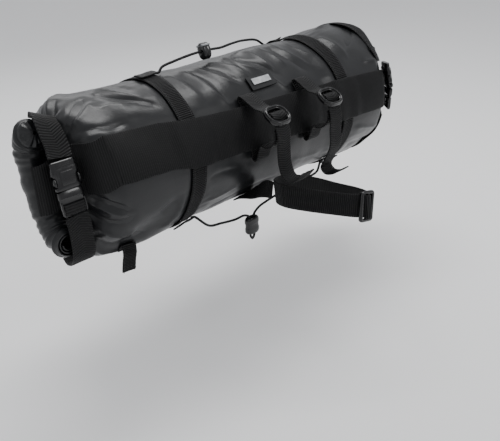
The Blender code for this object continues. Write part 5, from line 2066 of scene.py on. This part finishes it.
@dataclass
class FrameBuckle:
    """Slide buckle: a rounded rim with a raised lip and one middle bar."""

    name: str
    centre: np.ndarray
    along: np.ndarray
    across: np.ndarray
    length: float
    width: float
    corner: float
    rim: float
    thickness: float
    lip: bool = True

    def rim_ring(self, inset: float, half_wide: float, half_high: float, rise: float,
                 finish: Material) -> Thing:
        """Sweep a rounded section round the buckle's outline.

        Args:
            inset: Distance of the sweep's line inside the outline.
            half_wide: Half the section's width.
            half_high: Half its height.
            rise: Height of its middle.
            finish: The material.

        Returns:
            The swept ring.
        """
        along, across = unit(self.along), unit(self.across)
        up = unit(np.cross(along, across))
        line, outward = [], []
        corner = self.corner - inset
        for sx, sy, first in ((1, 1, 0), (-1, 1, 90), (-1, -1, 180), (1, -1, 270)):
            for k in range(10):
                a = math.radians(first + 90 * k / 9)
                direction = along * math.cos(a) + across * math.sin(a)
                line.append(self.centre + along * sx * (self.length / 2 - self.corner)
                            + across * sy * (self.width / 2 - self.corner) + direction * corner)
                outward.append(direction)
        line, outward = np.array(line), np.array(outward)
        rings = []
        for k in range(16):
            a = 2 * math.pi * k / 16
            c, s = math.cos(a), math.sin(a)
            wide = math.copysign(abs(c) ** 0.75, c) * half_wide
            high = math.copysign(abs(s) ** 0.75, s) * half_high
            rings.append(line + outward * wide + up * (rise + high))
        vertices = np.stack(rings, axis=1)
        faces = [tuple(f) for f in grid_faces(len(line), 16, wrap_rows=True, wrap_cols=True)]
        return mesh_piece("rim", vertices.reshape(-1, 3), faces, finish, 50.0)

    def build(self, tailor: Tailor) -> None:
        """Make the rim, its lip and the bar.

        Args:
            tailor: Who dresses, sews and records the pieces.
        """
        plastic = tailor.finishes.plastic
        along, across = unit(self.along), unit(self.across)
        parts = [self.rim_ring(self.rim / 2, self.rim / 2, self.thickness / 2, 0.0, plastic)]
        if self.lip:
            parts.append(self.rim_ring(self.rim * 0.42, self.rim * 0.30, self.thickness * 0.34,
                                       self.thickness * 0.42, plastic))
        half = self.width / 2 - self.rim * 0.6
        start = self.centre - across * half
        bar = [(share * half, self.rim * wide, self.thickness * high, 0, 0)
               for share, wide, high in ((0, 0.36, 0.34), (1, 0.40, 0.42), (2, 0.36, 0.34))]
        vertices, faces = rounded_loft(start, across, along, bar, 2.6, 20)
        parts.append(mesh_piece("bar", vertices, faces, plastic, 40.0))
        tailor.done(joined(self.name + "_piece", parts), Slot.PLASTIC, self.name)


@dataclass
class BarStraps:
    """Both straps that hang the bag from the handlebar, with their slide buckles."""

    skin: TubeSkin
    buckle_angle: float = 122.0
    buckle_radius: float = HANDLEBAR_RADIUS + 0.0062
    tails: dict[str, Points] = field(default_factory=lambda: {
        "left": ((-0.0208, 0.0000), (-0.0205, -0.0170), (-0.0215, -0.0320), (-0.0270, -0.0450),
                 (-0.0360, -0.0485), (-0.0460, -0.0430), (-0.0545, -0.0335)),
        "right": ((-0.0208, 0.0000), (-0.0205, -0.0170), (-0.0205, -0.0360), (-0.0110, -0.0560),
                  (-0.0070, -0.0660), (-0.0130, -0.0715), (-0.0230, -0.0695), (-0.0330, -0.0630))})

    def route(self, side: str) -> np.ndarray:
        """The strap's middle line: behind the spine, over the bar, through the buckle and down.

        Args:
            side: Which end or side it is on.

        Returns:
            The points.
        """
        x = BAR_STRAP_X[side]
        close = HANDLEBAR_RADIUS + GAP + WEBBING / 2
        behind = [tuple(self.skin.lifted(x, a, np.array(LIFT))[1:])
                  for a in (141.0, 148.0, 155.0, 162.0, 170.0, 178.0, 186.0)]
        axis = math.radians(self.buckle_angle)
        out, down = np.array([math.cos(axis), math.sin(axis)]), np.array([-math.sin(axis), math.cos(axis)])
        weave = [tuple(out * (self.buckle_radius + up) + down * along) for along, up in (
            (-0.0145, -0.0042), (-0.0096, -0.0036), (-0.0059, -0.0004), (-0.0034, 0.0024), (0.0, 0.0035),
            (0.0034, 0.0024), (0.0059, -0.0004), (0.0096, -0.0036))]
        turns = [(a, close) for a in np.linspace(286.0, 178.0, 8)]
        turns += [(a, close + 0.0002) for a in (170.0, 158.0)]
        arc = [(r * math.cos(math.radians(a)), r * math.sin(math.radians(a))) for a, r in turns]
        low_y, low_z = behind[-1]
        hairpin = [(low_y - 0.0010, low_z - 0.0034), (low_y - 0.0040, low_z - 0.0046),
                   (low_y - 0.0068, low_z - 0.0020)]
        under = [behind[-1], *hairpin, *arc]
        top_y, top_z = behind[0]
        crest = [(top_y + 0.0008, top_z + 0.0034), (top_y - 0.0016, top_z + 0.0056),
                 (top_y - 0.0052, top_z + 0.0050)]
        yz = [*under[::-1][:-1], *behind[::-1], *crest, (0.0120, 0.0235), *weave, *self.tails[side]]
        return smooth_path([(x, a, b) for a, b in yz], 700)

    def build(self, tailor: Tailor) -> None:
        """Make both straps and buckles.

        Args:
            tailor: Who dresses, sews and records the pieces.
        """
        axis = math.radians(self.buckle_angle)
        for side, x in BAR_STRAP_X.items():
            strap = ribbon(f"bar_strap_{side}", self.route(side), X_AXIS, BAR_STRAP_WIDTH, self.skin,
                           weave=Weave.HERRINGBONE, pitch=HERRINGBONE_PITCH, flip=True)
            tailor.strap(strap)
            centre = np.array([x, self.buckle_radius * math.cos(axis), self.buckle_radius * math.sin(axis)])
            FrameBuckle(f"bar_buckle_{side}", centre, np.array([0.0, -math.sin(axis), math.cos(axis)]),
                        X_AXIS, 0.0262, 0.0300, 0.0112, 0.0044, 0.0050).build(tailor)


@dataclass
class HeadStrap:
    """Strap loop round the head tube, its slide buckle and the short strap that anchors it."""

    skin: TubeSkin
    tilt: float = 0.12
    glide: Vec3 = (0.0100, -0.0957, -0.0780)
    loop: Points = ((-0.0480, -0.0300, -0.0655), (-0.0340, -0.0510, -0.0690), (-0.0180, -0.0720, -0.0720),
                    (-0.0040, -0.0890, -0.0745), (0.0050, -0.0925, -0.0765), (0.0150, -0.0928, -0.0790),
                    (0.0280, -0.0870, -0.0840), (0.0390, -0.0730, -0.0890), (0.0440, -0.0550, -0.0920),
                    (0.0400, -0.0330, -0.0920), (0.0260, -0.0140, -0.0860), (0.0080, -0.0010, -0.0800),
                    (-0.0120, 0.0020, -0.0740), (-0.0300, -0.0020, -0.0700), (-0.0440, -0.0120, -0.0670))

    def build(self, tailor: Tailor) -> None:
        """Make the loop, the glide and the anchor.

        Args:
            tailor: Who dresses, sews and records the pieces.
        """
        points = list(self.loop)
        route = smooth_path(points[-3:] + points + points[:3], 900)
        home = np.array(points[0])
        first = int(np.argmin(np.linalg.norm(route[:220] - home, axis=1)))
        last = 680 + int(np.argmin(np.linalg.norm(route[680:] - home, axis=1)))
        line = even_steps(route[first:last], 900)[:-1]
        off = np.abs((line - np.array(self.glide)) @ unit(np.array([1.0, -0.03, -0.22])))
        hump = smoothstep((0.0072 - off) / 0.0052) * (line[:, 1] < -0.080)
        line = line - hump[:, None] * np.array([[0.0, 0.0066, 0.0]])
        up = unit(np.array([0.0, self.tilt, 1.0]))
        shares = np.linspace(-0.5, 0.5, 13) * (HEAD_STRAP_WIDTH - WEBBING)
        grid = line[:, None, :] + up[None, None, :] * shares[None, :, None]
        strap = Strap("head_strap", grid, closed=True, pitch=0.0022, flip=False)
        tailor.strap(strap)
        centre = np.array(self.glide)
        along, across = unit(np.array([1.0, -0.03, -0.22])), unit(np.array([-0.22, -self.tilt, -1.0]))
        across = unit(across - along * float(np.dot(across, along)))
        FrameBuckle("tri_glide", centre, along, across, 0.0215, 0.0345, 0.0042, 0.0040, 0.0046,
                    lip=False).build(tailor)
        self.anchor(tailor)

    def anchor(self, tailor: Tailor) -> None:
        """Short webbing from the tube's underside to the loop.

        Args:
            tailor: Who dresses, sews and records the pieces.
        """
        start = self.skin.lifted(-0.0300, 236.0, np.array(LIFT))
        further = self.skin.lifted(-0.0300, 246.0, np.array(LIFT))
        route = smooth_path([further, start, (-0.0335, 0.0310, -0.0830), (-0.0380, 0.0160, -0.0740),
                             (-0.0410, 0.0040, -0.0690), (-0.0414, -0.0044, -0.0684)], 80)
        blend = np.linspace(0.0, 1.0, 80)[:, None]
        sides = (1 - blend) * np.array([[0.95, 0.10, 0.05]]) + blend * np.array([[0.25, 0.10, 0.95]])
        strap = ribbon("head_strap_anchor", route, sides, ANCHOR_WIDTH, self.skin, pitch=0.0022)
        tailor.strap(strap)
        tailor.sew("head_strap_anchor", strap.box_rows(0.003, 0.016, 0.78))


@dataclass
class ElasticCord:
    """Cord from tab to tab, through its lock."""

    skin: TubeSkin
    name: str
    count: int

    def route(self) -> np.ndarray:
        """The cord's line, from its left tab to its right one.

        Returns:
            The points.
        """
        ends = []
        for side in ("left", "right"):
            band, degrees = CORD_TABS[f"{self.name}_{side}"]
            inside = 1.0 if band == "left" else -1.0
            x = float(band_middle(band, degrees)) + inside * (TAB_REACH + 0.0011)
            ends.append(self.skin.lifted(x, degrees, np.array(0.0032)))
        step = np.array([0.004, 0.0, 0.0])
        return smooth_path([ends[0], ends[0] + step, *CORD_POINTS[self.name], ends[1] - step, ends[1]],
                           self.count)

    def build(self, tailor: Tailor, lock: Thing) -> None:
        """Args:
            tailor: Who dresses, sews and records the pieces.
            lock: The lock that rides on the cord; not used.
        """
        route = self.route()
        made = line_curve(f"{self.name}_cord_line", [route])
        made.data.bevel_depth = CORD_DIAMETER / 2
        made.data.bevel_resolution = 4
        made.data.use_fill_caps = True
        made.data.splines[0].use_smooth = True
        made.data.materials.append(tailor.finishes.cord)
        tailor.done(made, Slot.CORD, f"{self.name}_cord")


@dataclass
class CordLock:
    """Spring cord lock: a bored oval body, on some with a grey strip along one side."""

    name: str
    centre: Vec3
    along: Vec3
    across: Vec3
    size: Vec3
    bores: tuple[float, ...]
    bore_radius: float
    grey_strip: bool = False

    def build(self, tailor: Tailor) -> Thing:
        """Make the lock with its bores cut through.

        Args:
            tailor: Who dresses, sews and records the pieces.

        Returns:
            The lock's piece.
        """
        along = unit(np.array(self.along))
        across = square_to(along, np.array(self.across))
        length, width, height = self.size
        centre = np.array(self.centre)
        start = centre - along * length / 2
        w, h = width / 2, height / 2
        rows = ((0.0, 0.80, 0.80), (0.06, 0.92, 0.93), (0.16, 1.0, 1.0), (0.34, 1.0, 1.0),
                (0.40, 0.94, 0.92))
        rows += tuple((1 - share, wide, high) for share, wide, high in rows[::-1])
        body = [(length * share, w * wide, h * high, 0, 0) for share, wide, high in rows]
        vertices, faces = rounded_loft(start, along, across, body, 2.5, 40)
        shell = mesh_piece("lock_body", vertices, faces, tailor.finishes.plastic, 50.0)
        for place in self.bores:
            self.bore(shell, centre + across * place, along)
        shell = baked(shell, "lock_body")
        parts = [shell]
        if self.grey_strip:
            rows = ((0.0, 0.0011, 0.92), (0.0004, 0.0014, 1.02), (length - 0.0004, 0.0014, 1.02),
                    (length, 0.0011, 0.92))
            strip = [(run, wide, h * high, w * 0.66, 0) for run, wide, high in rows]
            vertices, faces = rounded_loft(start, along, across, strip, 3.0, 20)
            parts.append(mesh_piece("lock_strip", vertices, faces, tailor.finishes.grey_plastic, 40.0))
        for part in parts[1:]:
            part.data.shade_smooth()
        node = f"cord_lock_{self.name}"
        return tailor.done(joined(node + "_piece", parts), Slot.PLASTIC, node)

    def bore(self, shell: Thing, centre: np.ndarray, along: np.ndarray) -> None:
        """Cut one bore through the body.

        Args:
            shell: The lock's body.
            centre: A point on the bore's axis.
            along: The axis.
        """
        mesh = bpy.data.meshes.new("bore")
        work = bmesh.new()
        bmesh.ops.create_cone(work, cap_ends=True, segments=28, radius1=self.bore_radius,
                              radius2=self.bore_radius, depth=0.05)
        turn = Vector(along).to_track_quat("Z", "X").to_matrix().to_4x4()
        work.transform(Matrix.Translation(Vector(centre)) @ turn)
        work.to_mesh(mesh)
        work.free()
        cutter = bpy.data.objects.new("bore", mesh)
        bpy.context.collection.objects.link(cutter)
        cut = shell.modifiers.new("bore", "BOOLEAN")
        cut.operation = "DIFFERENCE"
        cut.solver = "EXACT"
        cut.object = cutter
        bpy.context.view_layer.update()
        graph = bpy.context.evaluated_depsgraph_get()
        shell.data = bpy.data.meshes.new_from_object(shell.evaluated_get(graph), depsgraph=graph)
        shell.modifiers.clear()
        bpy.data.objects.remove(cutter, do_unlink=True)


@dataclass
class Studio:
    """Pale floor, soft lights and the camera at the photograph's angle."""

    position: Vec3 = (-0.5146, -0.4784, 0.2338)
    azimuth: float = -42.658
    elevation: float = 26.82
    roll: float = -2.917
    lens: float = 655.9 / 500 * 36
    floor_z: float = -0.26

    def build(self) -> None:
        """Make all of it."""
        self.camera()
        self.floor()
        self.light("overhead", (0.20, 0.30, 1.15), (0.05, 0.08, 0.0), (1.0, 0.40), 11.0)
        self.light("behind", (0.35, 1.30, 0.75), (0.0, 0.10, 0.0), (1.4, 0.5), 4.0)
        self.light("left_wall", (-1.30, 0.35, 0.40), (-0.20, 0.08, 0.0), (0.5, 1.0), 1.2)
        self.light("rider_side", (0.55, -1.25, 0.85), (0.0, 0.05, -0.02), (0.5, 0.5), 6.0)
        world = bpy.data.worlds.new("pale_room")
        world.use_nodes = True
        background = world.node_tree.nodes["Background"]
        background.inputs["Color"].default_value = (0.96, 0.97, 1.0, 1.0)
        background.inputs["Strength"].default_value = 0.70
        bpy.context.scene.world = world

    def camera(self) -> None:
        """Place the camera."""
        az, el, ro = (math.radians(v) for v in (self.azimuth, self.elevation, self.roll))
        back = Vector((math.sin(az) * math.cos(el), -math.cos(az) * math.cos(el), math.sin(el)))
        level = Vector((math.cos(az), math.sin(az), 0.0))
        upright = back.cross(level)
        right = level * math.cos(ro) + upright * math.sin(ro)
        up = upright * math.cos(ro) - level * math.sin(ro)
        data = bpy.data.cameras.new("photo_camera")
        data.sensor_width = 36
        data.lens = self.lens
        data.clip_start = 0.01
        made = bpy.data.objects.new("photo_camera", data)
        bpy.context.collection.objects.link(made)
        x, y, z = self.position
        made.matrix_world = Matrix(((right.x, up.x, back.x, x), (right.y, up.y, back.y, y),
                                    (right.z, up.z, back.z, z), (0, 0, 0, 1)))
        bpy.context.scene.camera = made

    def floor(self) -> None:
        """Make a wide floor."""
        size = 6.0
        corners = [(a * size, b * size, self.floor_z) for a, b in ((-1, -1), (1, -1), (1, 1), (-1, 1))]
        mesh = bpy.data.meshes.new("pale_floor")
        mesh.from_pydata(corners, [], [(0, 1, 2, 3)])
        sketch = ShaderSketch("pale_floor_paint", Roughness=0.9, Base_Color=(0.93, 0.93, 0.93, 1.0))
        mesh.materials.append(sketch.material)
        made = bpy.data.objects.new("pale_floor", mesh)
        bpy.context.collection.objects.link(made)

    @staticmethod
    def light(name: str, place: Sequence[float], aim: Sequence[float], size: tuple[float, float],
              power: float) -> None:
        """Make a soft rectangular light.

        Args:
            name: The light's name.
            place: Where it stands.
            aim: Where it points.
            size: Width and height.
            power: Watts.
        """
        data = bpy.data.lights.new(name, "AREA")
        data.shape = "RECTANGLE"
        data.size, data.size_y = size
        data.energy = power
        made = bpy.data.objects.new(name, data)
        made.location = place
        made.rotation_euler = (Vector(aim) - Vector(place)).to_track_quat("-Z", "Y").to_euler()
        bpy.context.collection.objects.link(made)


def main() -> None:
    """Build the bag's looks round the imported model."""
    logging.basicConfig(level=logging.INFO, format="%(name)s: %(message)s")
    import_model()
    Studio().build()
    skin = TubeSkin()
    tailor = Tailor(Wardrobe())
    top_lock = CordLock("top", (-0.0330, 0.1065, 0.0710), (1.0, 0.11, -0.035), (0.0, 0.3, 1.0),
                        (0.0115, 0.0190, 0.0120), (0.0,), 0.0022, grey_strip=True)
    bottom_lock = CordLock("bottom", (-0.0340, 0.0400, -0.1290), (0.0, 0.0, 1.0), (1.0, 0.0, 0.0),
                           (0.0210, 0.0200, 0.0110), (-0.0035, 0.0035), 0.0027)
    for name, count, lock in (("top", 104, top_lock), ("bottom", 200, bottom_lock)):
        ElasticCord(skin, name, count).build(tailor, lock.build(tailor))
    BagTube(skin).build(tailor)
    for side in ("left", "right"):
        EndRoll(skin, side).build(tailor)
    BagWebbing(skin).build(tailor)
    ClosureLeft(skin).build(tailor)
    ClosureRight(skin).build(tailor)
    BarStraps(skin).build(tailor)
    HeadStrap(skin).build(tailor)
    tailor.sew_all()


if __name__ == "__main__":
    main()
